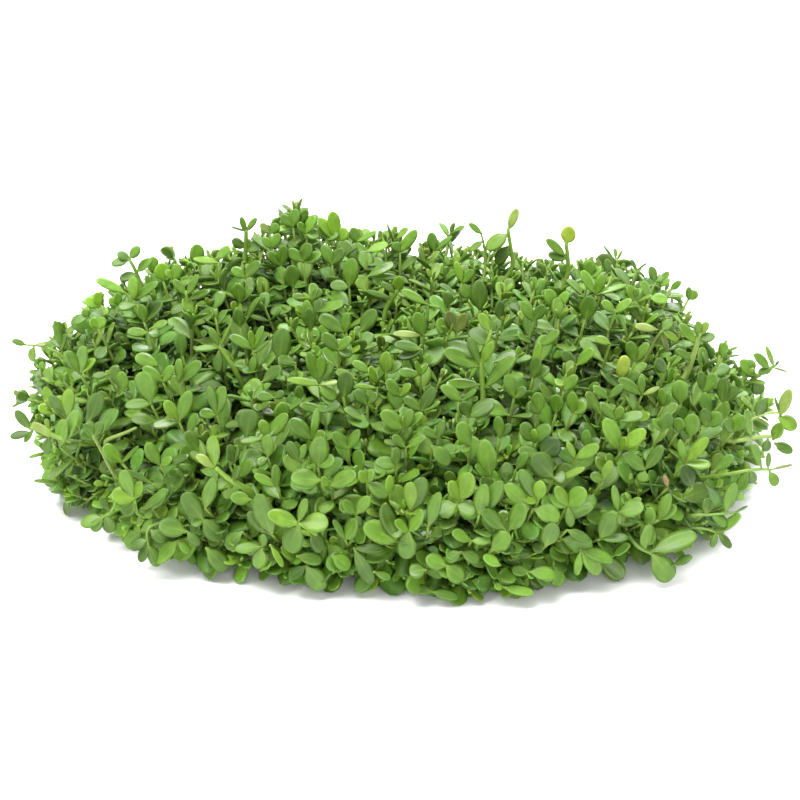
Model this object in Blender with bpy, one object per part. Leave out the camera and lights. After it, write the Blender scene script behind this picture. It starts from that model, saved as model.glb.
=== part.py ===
"""Dwarf baby tears: a small oval mat of a carpeting aquarium plant, as lifted out of its growing cup.

Metres, +Z up. The origin is on the flat underside of the root mat, under the middle of the plant.
The front of the mat is towards -Y. The mat has three kinds of piece:
  root_mat        creeping stems and fine roots, grown together into a flat disc
  leaf_cushion    the dense body of short shoots, one solid of their common form with leaves grown out of it
  shoot_*, runner_*   single shoots that stand clear of the cushion, each one stem with its leaves
"""

import math
import random
from collections import namedtuple

import bmesh
import bpy
import numpy as np
from mathutils import Quaternion, Vector
from mathutils.bvhtree import BVHTree

MM = 0.001
GOLDEN_TURN = 180 * (3 - math.sqrt(5))

# Form of the mat, measured over the leaf tips
HALF_WIDTH = 42.5 * MM
HALF_DEPTH = 37 * MM
MAT_HEIGHT = 16 * MM
BULGE_HEIGHT = 4.5 * MM
FOOT_SHARE = 0.93
ROUNDNESS = 2.4
RIM_LOBES = (  # azimuth in degrees, spread in degrees, how far the rim stands out
    (140, 22, 4.5 * MM),
    (108, 14, 3.0 * MM),
    (44, 16, 3.5 * MM),
    (252, 16, -1.0 * MM),
    (286, 14, 1.0 * MM),
    (318, 12, 2.5 * MM),
    (20, 9, -3.0 * MM),
    (268, 9, -1.0 * MM),
    (304, 7, -1.2 * MM),
)
CROWN_LOBES = (  # x, y, spread, how far the leaf tips rise
    (-13 * MM, 25 * MM, 8 * MM, 5.0 * MM),
    (8 * MM, 14 * MM, 7 * MM, -2.0 * MM),
    (22 * MM, 20 * MM, 9 * MM, 1.5 * MM),
    (-32 * MM, 8 * MM, 9 * MM, 1.5 * MM),
    (24 * MM, 0, 8 * MM, 1.0 * MM),
    (4 * MM, -18 * MM, 9 * MM, 1.0 * MM),
    (-12 * MM, 4 * MM, 8 * MM, -1.2 * MM),
)
PROFILE_STEPS = 120

# Root mat
ROOT_HEIGHT = 2.4 * MM
ROOT_SHARE = 0.75  # of the rim's radius
ROOT_RIDGE = 0.8 * MM
ROOT_RIDGES = 13
ROOT_BEVEL = 0.7 * MM
OUTLINE_POINTS = 52

# Leaf cushion
CUSHION_INSET = 3 * MM  # how deep its ground lies under the leaf tips
CUSHION_FOOT = 1.0 * MM
CUSHION_POINTS = 500
CUSHION_LUMP = 0.6 * MM
DIMPLE = 0.9 * MM
GAP = 0.35 * MM  # between neighbouring pieces

# Leaves grown out of the cushion
CUSHION_LEAVES = 285
CUSHION_LEAF = 4.2 * MM
CUSHION_LEAF_WIDTH = 3.0 * MM
CUSHION_LEAF_THICKNESS = 0.6 * MM
CUSHION_LEAF_TILT = (35, 62)  # degrees from upright
CLEARANCE_OF_LEAVES = 1.5 * MM  # from the points of the single shoots
LEAF_TEST_START = 0.08  # of the way from a leaf's socket to its widest place
LOWEST_LEAF = 0.4 * MM  # over the ground

# Shoots
STEM_HALF_WIDTH = 0.35 * MM
LEAF_BAND = 0.7 * MM  # height of the stem's ring that carries a leaf pair
LEAF_THICKNESS = 0.4 * MM
LEAF_WIDTH_SHARE = 0.66  # of the leaf's length
SHOOT_COUNT = 34
SHOOT_STEM = 4.4 * MM
SHOOT_LEAF = 4.2 * MM
SHOOT_PAIRS = 3
LOWEST_SHOOT_SHARE = 0.80  # of the canopy's area, counted from the crown
CLEARANCE_OF_SHOOTS = 8.5 * MM

Shoot = namedtuple("Shoot", "name azimuth share lean_azimuth lean_elevation stem leaf pairs roll")

# Shoots that can be told apart. The foot is given by its azimuth and its area share on the canopy.
NAMED_SHOOTS = (
    Shoot("shoot_tall_pale", 291, 0.26, 10, 84, 10.5 * MM, 4.4 * MM, 4, 45),
    Shoot("shoot_spoon_left", 58, 0.20, 5, 74, 8.0 * MM, 4.2 * MM, 3, 45),
    Shoot("shoot_spoon_right", 30, 0.18, 10, 76, 8.0 * MM, 4.0 * MM, 3, 45),
    Shoot("shoot_crown_peak", 121, 0.20, 120, 80, 5.0 * MM, 4.2 * MM, 3, 45),
    Shoot("shoot_skyline_left", 140, 0.24, 110, 76, 6.5 * MM, 3.8 * MM, 3, 45),
    Shoot("shoot_pale_stem", 344, 0.42, 40, 66, 8.5 * MM, 4.0 * MM, 3, 45),
    Shoot("shoot_back_left", 164, 0.36, 165, 50, 6.5 * MM, 4.2 * MM, 3, 45),
    Shoot("shoot_right_top", 356, 0.58, 5, 14, 6.8 * MM, 4.0 * MM, 3, 45),
    Shoot("shoot_big_leaf", 308, 0.77, 312, 22, 5.0 * MM, 5.2 * MM, 2, 45),
    Shoot("shoot_front_bright", 249, 0.74, 255, 34, 4.6 * MM, 4.4 * MM, 3, 45),
    Shoot("runner_left", 207, 0.62, 197, 16, 9.5 * MM, 4.0 * MM, 4, 45),
    Shoot("runner_left_back", 182, 0.56, 176, 24, 8.0 * MM, 3.8 * MM, 3, 45),
    Shoot("runner_right", 336, 0.56, 347, 20, 10.5 * MM, 4.4 * MM, 4, 45),
    Shoot("runner_right_low", 322, 0.66, 332, 14, 9.0 * MM, 3.8 * MM, 4, 45),
    Shoot("runner_low_left", 216, 0.74, 212, 16, 6.5 * MM, 3.8 * MM, 3, 45),
    Shoot("runner_front_left", 232, 0.78, 234, 22, 5.5 * MM, 3.8 * MM, 3, 45),
    Shoot("runner_front_right", 317, 0.82, 328, 10, 6.5 * MM, 3.6 * MM, 3, 45),
)

MATERIALS = {  # base colour (linear), roughness
    "leaf": ((0.135, 0.300, 0.040), 0.42),
    "young_leaf": ((0.290, 0.470, 0.070), 0.40),
    "inner_leaf": ((0.060, 0.150, 0.022), 0.50),
    "root": ((0.300, 0.270, 0.130), 0.75),
}


def rim_radius(azimuth):
    """Radius of the leaf tips' widest outline, at an azimuth in degrees."""
    angle = math.radians(azimuth)
    radius = 1 / math.hypot(math.cos(angle) / HALF_WIDTH, math.sin(angle) / HALF_DEPTH)
    for centre, spread, out in RIM_LOBES:
        off = (azimuth - centre + 180) % 360 - 180
        radius += out * math.exp(-0.5 * (off / spread) ** 2)
    return radius


def canopy_profile():
    """Area share, share of the rim's radius and height along the canopy, from the crown down to the foot."""
    angle = np.linspace(0, math.pi / 2, PROFILE_STEPS)
    radius = np.sin(angle) ** (2 / ROUNDNESS)
    height = BULGE_HEIGHT + (MAT_HEIGHT - BULGE_HEIGHT) * np.cos(angle) ** (2 / ROUNDNESS)
    under = angle[1:]
    radius = np.append(radius, FOOT_SHARE + (1 - FOOT_SHARE) * np.cos(under))
    height = np.append(height, BULGE_HEIGHT * (1 - np.sin(under)))
    mean_radius = (HALF_WIDTH + HALF_DEPTH) / 2
    step = np.hypot(mean_radius * np.diff(radius), np.diff(height))
    area = np.append(0, np.cumsum((radius[1:] + radius[:-1]) / 2 * step))
    return area / area[-1], radius, height


AREA_SHARES, RADIUS_SHARES, HEIGHTS = canopy_profile()


def canopy_point(azimuth, share, inset=0.0):
    """Point of the canopy at an azimuth and an area share (0 crown, 1 foot), or that far inside it."""
    radius_share = float(np.interp(share, AREA_SHARES, RADIUS_SHARES))
    height = float(np.interp(share, AREA_SHARES, HEIGHTS)) * (1 - inset / MAT_HEIGHT)
    radius = radius_share * (rim_radius(azimuth) - inset)
    x = radius * math.cos(math.radians(azimuth))
    y = radius * math.sin(math.radians(azimuth))
    fade = math.sqrt(max(0.0, 1 - radius_share**ROUNDNESS))
    for lobe_x, lobe_y, spread, rise in CROWN_LOBES:
        height += fade * rise * math.exp(-0.5 * ((x - lobe_x) ** 2 + (y - lobe_y) ** 2) / spread**2)
    return Vector((x, y, height))


def canopy_normal(azimuth, share):
    """Outward direction of the canopy there."""
    step = 0.01
    down = canopy_point(azimuth, min(share + step, 1)) - canopy_point(azimuth, max(share - step, 0.001))
    around = canopy_point(azimuth + 2, share) - canopy_point(azimuth - 2, share)
    return down.cross(around).normalized()


def on_cushion(azimuth, share, out=0.0):
    """Point of the cushion's ground, whose foot stays clear of the floor."""
    place = canopy_point(azimuth, share, CUSHION_INSET)
    full = MAT_HEIGHT - CUSHION_INSET
    place.z = CUSHION_FOOT + place.z * (full - CUSHION_FOOT) / full
    return place + canopy_normal(azimuth, share) * out


def direction(azimuth, elevation):
    """Unit vector of an azimuth and elevation in degrees."""
    flat = math.cos(math.radians(elevation))
    east = flat * math.cos(math.radians(azimuth))
    north = flat * math.sin(math.radians(azimuth))
    return Vector((east, north, math.sin(math.radians(elevation))))


class Skin:
    """A closed surface that grows ring by ring. Every ring has four corners, counted round its axis."""

    def __init__(self):
        self.points = []
        self.faces = []

    def ring(self, corners):
        """Adds a ring's corners and gives their numbers."""
        first = len(self.points)
        self.points.extend(corners)
        return list(range(first, len(self.points)))

    def sides(self, low, high, left_open=()):
        """Joins two rings, leaving open the sides that a leaf will grow from."""
        for k in range(4):
            if k not in left_open:
                self.faces.append((low[k], low[(k + 1) % 4], high[(k + 1) % 4], high[k]))

    def tip(self, ring, place):
        """Closes a ring with a point."""
        self.points.append(place)
        for k in range(4):
            self.faces.append((ring[k], ring[(k + 1) % 4], len(self.points) - 1))


def grow_leaf(skin, socket, outward, up, length):
    """A spoon-shaped leaf grown out of an open side of the stem: wide past its middle, creased along its midrib."""
    base = sum((skin.points[i] for i in socket), Vector()) / 4
    across = (skin.points[socket[1]] - skin.points[socket[0]]).normalized()
    above = outward.cross(across).normalized()
    if above.dot(up) < 0:
        above.negate()
    half_width = length * LEAF_WIDTH_SHARE / 2
    stations = ((0.55, 1.0, 0.0), (0.84, 0.78, -0.05))  # along the leaf, share of the width, droop
    last = socket
    for along, width, droop in stations:
        centre = base + outward * (length * along) + above * (length * droop)
        edge = above * (0.35 * LEAF_THICKNESS)
        ring = skin.ring(
            (
                centre - across * (half_width * width) + edge,
                centre - above * (0.6 * LEAF_THICKNESS),
                centre + across * (half_width * width) + edge,
                centre + above * (0.4 * LEAF_THICKNESS),
            )
        )
        skin.sides(last, ring)
        last = ring
    skin.tip(last, base + outward * length - above * (0.12 * length))


def grow_shoot(foot, rise, lean, plan):
    """One stem with its leaf pairs, each pair turned a quarter from the pair below.

    The stem leaves its foot along rise and ends along lean. Leaves get shorter and steeper towards the tip.
    """
    skin = Skin()
    bend = foot + rise * (0.45 * plan.stem)
    end = bend + lean * (0.55 * plan.stem)
    side = rise.orthogonal().normalized()
    side.rotate(Quaternion(rise, math.radians(plan.roll)))

    def station(share):
        place = foot.lerp(bend, share).lerp(bend.lerp(end, share), share)
        along = (bend - foot).lerp(end - bend, share).normalized()
        first = (side - along * side.dot(along)).normalized()
        return place, along, first, along.cross(first)

    def stem_ring(share, half_width):
        place, _, first, second = station(share)
        return skin.ring(
            (
                place + (first - second) * half_width,
                place + (first + second) * half_width,
                place + (second - first) * half_width,
                place - (first + second) * half_width,
            )
        )

    last = stem_ring(0, STEM_HALF_WIDTH)
    skin.faces.append(tuple(reversed(last)))
    lowest, highest = 0.34, 0.9
    for pair in range(plan.pairs):
        young = pair / (plan.pairs - 1)
        share = lowest + (highest - lowest) * young
        half_width = STEM_HALF_WIDTH * (1 - 0.25 * young)
        _, along, first, second = station(share)
        low = stem_ring(share, half_width)
        high = stem_ring(share + LEAF_BAND * (1 - 0.3 * young) / plan.stem, half_width)
        skin.sides(last, low)
        grown = (0, 2) if pair % 2 == 0 else (1, 3)
        skin.sides(low, high, left_open=grown)
        steepness = math.radians(18 + 34 * young)
        length = plan.leaf * (1 - 0.42 * young)
        for k in grown:
            away = (first, second)[k % 2] * (1 if k < 2 else -1)
            outward = away * math.cos(steepness) + along * math.sin(steepness)
            socket = (low[k], low[(k + 1) % 4], high[(k + 1) % 4], high[k])
            grow_leaf(skin, socket, outward, along, length)
        last = high
    place, along, _, _ = station(1)
    skin.tip(last, place + along * (0.16 * plan.stem))
    return skin


def plan_shoots():
    """The named shoots, then short ones spread evenly where the named ones leave room."""
    rng = random.Random(5)
    plans = list(NAMED_SHOOTS)
    taken = [on_cushion(plan.azimuth, plan.share) for plan in plans]
    number = 0
    for k in range(SHOOT_COUNT):
        azimuth = (k * GOLDEN_TURN + 20) % 360
        share = LOWEST_SHOOT_SHARE * (k + 0.6) / SHOOT_COUNT
        stem = SHOOT_STEM * rng.uniform(0.85, 1.15)
        leaf = SHOOT_LEAF * rng.uniform(0.9, 1.1)
        roll = rng.uniform(0, 90)
        sway = direction(rng.uniform(0, 360), 0) * 0.25
        place = on_cushion(azimuth, share)
        if min((place - other).length for other in taken) < CLEARANCE_OF_SHOOTS:
            continue
        number += 1
        lean = canopy_normal(azimuth, share) + Vector((0, 0, 0.3)) + sway
        lean_azimuth = math.degrees(math.atan2(lean.y, lean.x))
        lean_elevation = math.degrees(math.asin(lean.normalized().z))
        name = f"shoot_{number:02d}"
        plans.append(Shoot(name, azimuth, share, lean_azimuth, lean_elevation, stem, leaf, SHOOT_PAIRS, roll))
        taken.append(place)
    return plans


def shoot_skin(plan):
    """A shoot's surface. Its foot stands over a dimple of the cushion."""
    lean = direction(plan.lean_azimuth, plan.lean_elevation)
    rise = (canopy_normal(plan.azimuth, plan.share) + lean * 0.6).normalized()
    seat = on_cushion(plan.azimuth, plan.share, -DIMPLE) + rise * (GAP + STEM_HALF_WIDTH)
    return grow_shoot(seat, rise, lean, plan)


def make_root_mat():
    """Flat disc of creeping stems and roots. Its outline is ridged, and its underside is the flat that it rests on."""
    bm = bmesh.new()
    levels = ((0, ROOT_BEVEL), (ROOT_BEVEL, 0), (ROOT_HEIGHT - ROOT_BEVEL, 0), (ROOT_HEIGHT, ROOT_BEVEL))
    rings = []
    for height, inset in levels:
        ring = []
        for k in range(OUTLINE_POINTS):
            azimuth = 360 * k / OUTLINE_POINTS
            ridge = ROOT_RIDGE * (0.5 - 0.5 * math.cos(math.radians(azimuth * ROOT_RIDGES)))
            flat = direction(azimuth, 0) * (ROOT_SHARE * rim_radius(azimuth) - ridge - inset)
            ring.append(bm.verts.new((flat.x, flat.y, height)))
        rings.append(ring)
    for low, high in zip(rings, rings[1:]):
        for k in range(OUTLINE_POINTS):
            after = (k + 1) % OUTLINE_POINTS
            bm.faces.new((low[k], low[after], high[after], high[k]))
    bm.faces.new(reversed(rings[0]))
    bm.faces.new(rings[-1])
    add_object("root_mat", bm, "root")


def cushion_places(plans):
    """Azimuth and area share of the cushion's points: a sunflower spiral, and an even ring at the foot.

    Where a shoot comes out, the nearest point of the spiral moves to its foot.
    """
    spiral = [(k * GOLDEN_TURN % 360, 0.97 * (k + 0.5) / CUSHION_POINTS) for k in range(CUSHION_POINTS)]
    dimples = set()
    for plan in plans:
        foot = on_cushion(plan.azimuth, plan.share)
        nearest = min(range(CUSHION_POINTS), key=lambda k: (on_cushion(*spiral[k]) - foot).length)
        spiral[nearest] = (plan.azimuth, plan.share)
        dimples.add(nearest)
    ring = [(360 * k / OUTLINE_POINTS, 1.0) for k in range(OUTLINE_POINTS)]
    return spiral, ring, dimples


def cushion_ground(bm, plans, rng):
    """Lumpy dome over the root mat. It is closed below by a skirt that clears the root mat's edge and top."""
    spiral, ring, dimples = cushion_places(plans)
    for azimuth, share in spiral + ring:
        flat = direction(azimuth, 0) * math.sqrt(1 - (1 - share) ** 2)
        bm.verts.new((flat.x, flat.y, 1 - share))
    bmesh.ops.convex_hull(bm, input=list(bm.verts))
    bm.verts.ensure_lookup_table()
    foot = bm.verts[CUSHION_POINTS:]
    on_foot = set(foot)
    below = [face for face in bm.faces if on_foot.issuperset(face.verts)]
    bmesh.ops.delete(bm, geom=below, context="FACES_KEEP_BOUNDARY")
    for k, (azimuth, share) in enumerate(spiral):
        lump = rng.uniform(-1, 1) * CUSHION_LUMP * min(1, 6 * (1 - share))
        bm.verts[k].co = on_cushion(azimuth, share, -DIMPLE if k in dimples else lump)
    for vert, place in zip(foot, ring):
        vert.co = on_cushion(*place)
    rings = [foot]
    for height in (CUSHION_FOOT, ROOT_HEIGHT + GAP):
        inner = []
        for azimuth, _ in ring:
            flat = direction(azimuth, 0) * (ROOT_SHARE * rim_radius(azimuth) + GAP)
            inner.append(bm.verts.new((flat.x, flat.y, height)))
        rings.append(inner)
    dome = [face for face in bm.faces]
    for wide, narrow in zip(rings, rings[1:]):
        for k in range(OUTLINE_POINTS):
            after = (k + 1) % OUTLINE_POINTS
            bm.faces.new((wide[after], wide[k], narrow[k], narrow[after]))
    bm.faces.new(reversed(rings[-1]))
    bmesh.ops.recalc_face_normals(bm, faces=list(bm.faces))
    return dome


def cushion_leaf(socket, normal, tilt):
    """Corners of a leaf grown out of a triangle of the cushion, whose first corner is under the leaf's keel."""
    below, left, right = socket
    base = (below + left + right) / 3
    across = (right - left).normalized()
    back = below - (left + right) / 2
    back = (back - across * back.dot(across)).normalized()
    outward = normal * math.cos(tilt) + back * math.sin(tilt)
    up = normal * math.sin(tilt) - back * math.cos(tilt)
    widest = base + outward * (0.58 * CUSHION_LEAF)
    half = across * (CUSHION_LEAF_WIDTH / 2)
    return (
        widest - up * CUSHION_LEAF_THICKNESS,
        widest - half,
        widest + half,
        base + outward * CUSHION_LEAF - up * (0.1 * CUSHION_LEAF),
    )


def crosses(socket, corners, neighbours):
    """Whether a leaf runs into its neighbours. Its lowest stretch is left out, because that touches them anyway."""
    start = [place.lerp(corner, LEAF_TEST_START) for place, corner in zip(socket, corners)]
    faces = []
    for k in range(3):
        after = (k + 1) % 3
        faces += [(k, after, 3 + after), (k, 3 + after, 3 + k), (3 + k, 3 + after, 6)]
    return bool(BVHTree.FromPolygons([*start, *corners], faces).overlap(neighbours))


def grow_cushion_leaves(bm, dome, shoot_points, rng):
    """Leaves over the whole cushion, wherever one has room beside its neighbours and the single shoots."""
    rng.shuffle(dome)
    grown = 0
    neighbours = BVHTree.FromBMesh(bm)
    for face in dome:
        if grown == CUSHION_LEAVES:
            break
        tilt = math.radians(rng.uniform(*CUSHION_LEAF_TILT))
        for keel in rng.sample(range(3), 3):
            verts = [face.verts[(keel + k) % 3] for k in range(3)]
            socket = [vert.co for vert in verts]
            corners = cushion_leaf(socket, face.normal, tilt)
            middle = (corners[1] + corners[2] + corners[3]) / 3
            probes = (*corners, middle)
            if min(probe.z for probe in probes) < LOWEST_LEAF:
                continue
            if any((probe - point).length < CLEARANCE_OF_LEAVES for probe in probes for point in shoot_points):
                continue
            if crosses(socket, corners, neighbours):
                continue
            bm.faces.remove(face)
            *wide, tip = (bm.verts.new(corner) for corner in corners)
            for k in range(3):
                after = (k + 1) % 3
                bm.faces.new((verts[k], verts[after], wide[after]))
                bm.faces.new((verts[k], wide[after], wide[k]))
                bm.faces.new((wide[k], wide[after], tip))
            neighbours = BVHTree.FromBMesh(bm)
            grown += 1
            break


def make_cushion(plans, skins):
    """The dense body of short shoots."""
    rng = random.Random(11)
    bm = bmesh.new()
    dome = cushion_ground(bm, plans, rng)
    grow_cushion_leaves(bm, dome, [point for skin in skins for point in skin.points], rng)
    add_object("leaf_cushion", bm, "inner_leaf")


def make_shoot(name, skin, material):
    bm = bmesh.new()
    verts = [bm.verts.new(point) for point in skin.points]
    for face in skin.faces:
        bm.faces.new([verts[k] for k in face])
    add_object(name, bm, material)


def add_object(name, bm, material):
    mesh = bpy.data.meshes.new(name)
    bm.to_mesh(mesh)
    bm.free()
    mesh.materials.append(bpy.data.materials[material])
    bpy.context.scene.collection.objects.link(bpy.data.objects.new(name, mesh))


def make_materials():
    for name, (colour, roughness) in MATERIALS.items():
        material = bpy.data.materials.new(name)
        material.use_nodes = True
        shader = material.node_tree.nodes["Principled BSDF"]
        shader.inputs["Base Color"].default_value = (*colour, 1)
        shader.inputs["Roughness"].default_value = roughness
        shader.inputs["Metallic"].default_value = 0
        material.diffuse_color = (*colour, 1)


def main():
    for obj in list(bpy.data.objects):
        bpy.data.objects.remove(obj)
    make_materials()
    plans = plan_shoots()
    skins = [shoot_skin(plan) for plan in plans]
    make_root_mat()
    make_cushion(plans, skins)
    for number, (plan, skin) in enumerate(zip(plans, skins)):
        young = number < len(NAMED_SHOOTS) or number % 4 == 0
        make_shoot(plan.name, skin, "young_leaf" if young else "leaf")


main()
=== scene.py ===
"""Looks of the dwarf baby tears: every stem and leaf, the root mat, the light and the camera."""

import math
import random
from collections import namedtuple

import bpy
import numpy as np
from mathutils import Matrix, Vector, noise


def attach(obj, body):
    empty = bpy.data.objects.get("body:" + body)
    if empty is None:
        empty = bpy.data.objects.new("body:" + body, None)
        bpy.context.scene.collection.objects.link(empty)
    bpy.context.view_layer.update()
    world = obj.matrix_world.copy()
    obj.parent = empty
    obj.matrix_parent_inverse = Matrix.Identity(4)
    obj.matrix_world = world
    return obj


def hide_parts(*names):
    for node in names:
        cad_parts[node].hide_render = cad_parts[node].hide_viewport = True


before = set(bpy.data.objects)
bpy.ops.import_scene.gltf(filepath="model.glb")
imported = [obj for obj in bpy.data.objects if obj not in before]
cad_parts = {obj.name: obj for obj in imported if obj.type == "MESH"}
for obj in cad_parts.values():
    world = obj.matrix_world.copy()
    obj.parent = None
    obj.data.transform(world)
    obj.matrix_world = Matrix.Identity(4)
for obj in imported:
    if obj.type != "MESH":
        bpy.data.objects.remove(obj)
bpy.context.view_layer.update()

MM = 0.001
GOLDEN_TURN = 180 * (3 - math.sqrt(5))
UP = np.array((0.0, 0.0, 1.0))

# Form of the mat, as in the CAD source
HALF_WIDTH = 42.5 * MM
HALF_DEPTH = 37 * MM
MAT_HEIGHT = 16 * MM
BULGE_HEIGHT = 4.5 * MM
FOOT_SHARE = 0.93
ROUNDNESS = 2.4
RIM_LOBES = (  # azimuth in degrees, spread in degrees, how far the rim stands out
    (140, 22, 4.5 * MM),
    (108, 14, 3.0 * MM),
    (44, 16, 3.5 * MM),
    (252, 16, -1.0 * MM),
    (286, 14, 1.0 * MM),
    (318, 12, 2.5 * MM),
    (20, 9, -3.0 * MM),
    (268, 9, -1.0 * MM),
    (304, 7, -1.2 * MM),
)
CROWN_LOBES = (  # x, y, spread, how far the leaf tips rise
    (-13 * MM, 25 * MM, 8 * MM, 5.0 * MM),
    (8 * MM, 14 * MM, 7 * MM, -2.0 * MM),
    (22 * MM, 20 * MM, 9 * MM, 1.5 * MM),
    (-32 * MM, 8 * MM, 9 * MM, 1.5 * MM),
    (24 * MM, 0, 8 * MM, 1.0 * MM),
    (4 * MM, -18 * MM, 9 * MM, 1.0 * MM),
    (-12 * MM, 4 * MM, 8 * MM, -1.2 * MM),
)
PROFILE_STEPS = 120
ROOT_SHARE = 0.75
CUSHION_INSET = 3 * MM
CUSHION_FOOT = 1.0 * MM
DIMPLE = 0.9 * MM
GAP = 0.35 * MM
STEM_HALF_WIDTH = 0.35 * MM
SHOOT_COUNT = 34
SHOOT_STEM = 4.4 * MM
LOWEST_SHOOT_SHARE = 0.80
CLEARANCE_OF_SHOOTS = 8.5 * MM

Shoot = namedtuple("Shoot", "name azimuth share lean_azimuth lean_elevation stem")

NAMED_SHOOTS = (
    Shoot("shoot_tall_pale", 291, 0.26, 10, 84, 10.5 * MM),
    Shoot("shoot_spoon_left", 58, 0.20, 5, 74, 8.0 * MM),
    Shoot("shoot_spoon_right", 30, 0.18, 10, 76, 8.0 * MM),
    Shoot("shoot_crown_peak", 121, 0.20, 120, 80, 5.0 * MM),
    Shoot("shoot_skyline_left", 140, 0.24, 110, 76, 6.5 * MM),
    Shoot("shoot_pale_stem", 344, 0.42, 40, 66, 8.5 * MM),
    Shoot("shoot_back_left", 164, 0.36, 165, 50, 6.5 * MM),
    Shoot("shoot_right_top", 356, 0.58, 5, 14, 6.8 * MM),
    Shoot("shoot_big_leaf", 308, 0.77, 312, 22, 5.0 * MM),
    Shoot("shoot_front_bright", 249, 0.74, 255, 34, 4.6 * MM),
    Shoot("runner_left", 207, 0.62, 197, 16, 9.5 * MM),
    Shoot("runner_left_back", 182, 0.56, 176, 24, 8.0 * MM),
    Shoot("runner_right", 336, 0.56, 347, 20, 10.5 * MM),
    Shoot("runner_right_low", 322, 0.66, 332, 14, 9.0 * MM),
    Shoot("runner_low_left", 216, 0.74, 212, 16, 6.5 * MM),
    Shoot("runner_front_left", 232, 0.78, 234, 22, 5.5 * MM),
    Shoot("runner_front_right", 317, 0.82, 328, 10, 6.5 * MM),
)


def rim_radius(azimuth):
    """Radius of the leaf tips' widest outline, at an azimuth in degrees."""
    angle = math.radians(azimuth)
    radius = 1 / math.hypot(math.cos(angle) / HALF_WIDTH, math.sin(angle) / HALF_DEPTH)
    for centre, spread, out in RIM_LOBES:
        off = (azimuth - centre + 180) % 360 - 180
        radius += out * math.exp(-0.5 * (off / spread) ** 2)
    return radius


def canopy_profile():
    """Area share, share of the rim's radius and height along the canopy, from its crown to its foot."""
    angle = np.linspace(0, math.pi / 2, PROFILE_STEPS)
    radius = np.sin(angle) ** (2 / ROUNDNESS)
    height = BULGE_HEIGHT + (MAT_HEIGHT - BULGE_HEIGHT) * np.cos(angle) ** (2 / ROUNDNESS)
    under = angle[1:]
    radius = np.append(radius, FOOT_SHARE + (1 - FOOT_SHARE) * np.cos(under))
    height = np.append(height, BULGE_HEIGHT * (1 - np.sin(under)))
    mean_radius = (HALF_WIDTH + HALF_DEPTH) / 2
    step = np.hypot(mean_radius * np.diff(radius), np.diff(height))
    area = np.append(0, np.cumsum((radius[1:] + radius[:-1]) / 2 * step))
    return area / area[-1], radius, height


AREA_SHARES, RADIUS_SHARES, HEIGHTS = canopy_profile()


def canopy_point(azimuth, share, inset=0.0):
    """Point of the canopy at an azimuth and an area share (0 crown, 1 foot), or that far inside it."""
    radius_share = float(np.interp(share, AREA_SHARES, RADIUS_SHARES))
    height = float(np.interp(share, AREA_SHARES, HEIGHTS)) * (1 - inset / MAT_HEIGHT)
    radius = radius_share * (rim_radius(azimuth) - inset)
    x = radius * math.cos(math.radians(azimuth))
    y = radius * math.sin(math.radians(azimuth))
    fade = math.sqrt(max(0.0, 1 - radius_share**ROUNDNESS))
    for lobe_x, lobe_y, spread, rise in CROWN_LOBES:
        height += fade * rise * math.exp(-0.5 * ((x - lobe_x) ** 2 + (y - lobe_y) ** 2) / spread**2)
    return Vector((x, y, height))


def canopy_normal(azimuth, share):
    """Outward direction of the canopy there."""
    step = 0.01
    down = canopy_point(azimuth, min(share + step, 1)) - canopy_point(azimuth, max(share - step, 0.001))
    around = canopy_point(azimuth + 2, share) - canopy_point(azimuth - 2, share)
    return down.cross(around).normalized()


def on_cushion(azimuth, share, out=0.0):
    """Point of the CAD cushion's ground."""
    place = canopy_point(azimuth, share, CUSHION_INSET)
    full = MAT_HEIGHT - CUSHION_INSET
    place.z = CUSHION_FOOT + place.z * (full - CUSHION_FOOT) / full
    return place + canopy_normal(azimuth, share) * out


def direction(azimuth, elevation):
    """Unit vector of an azimuth and elevation in degrees."""
    flat = math.cos(math.radians(elevation))
    east = flat * math.cos(math.radians(azimuth))
    north = flat * math.sin(math.radians(azimuth))
    return Vector((east, north, math.sin(math.radians(elevation))))


def plan_shoots():
    """The CAD shoots' plans, drawn in the CAD source's order."""
    rng = random.Random(5)
    plans = list(NAMED_SHOOTS)
    taken = [on_cushion(plan.azimuth, plan.share) for plan in plans]
    number = 0
    for k in range(SHOOT_COUNT):
        azimuth = (k * GOLDEN_TURN + 20) % 360
        share = LOWEST_SHOOT_SHARE * (k + 0.6) / SHOOT_COUNT
        stem = SHOOT_STEM * rng.uniform(0.85, 1.15)
        for _ in ("leaf size", "roll"):  # the CAD source alone uses them
            rng.random()
        sway = direction(rng.uniform(0, 360), 0) * 0.25
        place = on_cushion(azimuth, share)
        if min((place - other).length for other in taken) < CLEARANCE_OF_SHOOTS:
            continue
        number += 1
        lean = canopy_normal(azimuth, share) + Vector((0, 0, 0.3)) + sway
        lean_azimuth = math.degrees(math.atan2(lean.y, lean.x))
        lean_elevation = math.degrees(math.asin(lean.normalized().z))
        plans.append(Shoot(f"shoot_{number:02d}", azimuth, share, lean_azimuth, lean_elevation, stem))
        taken.append(place)
    return plans


def unit(vector):
    return vector / np.linalg.norm(vector)


# Camera, and the photograph's pixels as places
CAMERA_ELEVATION = 26
CAMERA_DISTANCE = 0.270
CAMERA_TARGET = Vector((0, 0, 5.2 * MM))
CAMERA_LENS = 107
SENSOR_WIDTH = 36
PHOTO_WIDTH = 800

VIEW_IN = np.array(direction(90, -CAMERA_ELEVATION))
VIEW_UP = np.array(direction(90, 90 - CAMERA_ELEVATION))
VIEW_RIGHT = np.array((1.0, 0.0, 0.0))
CAMERA_PLACE = np.array(CAMERA_TARGET) - VIEW_IN * CAMERA_DISTANCE
PIXELS_PER_SLOPE = CAMERA_LENS / SENSOR_WIDTH * PHOTO_WIDTH


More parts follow.
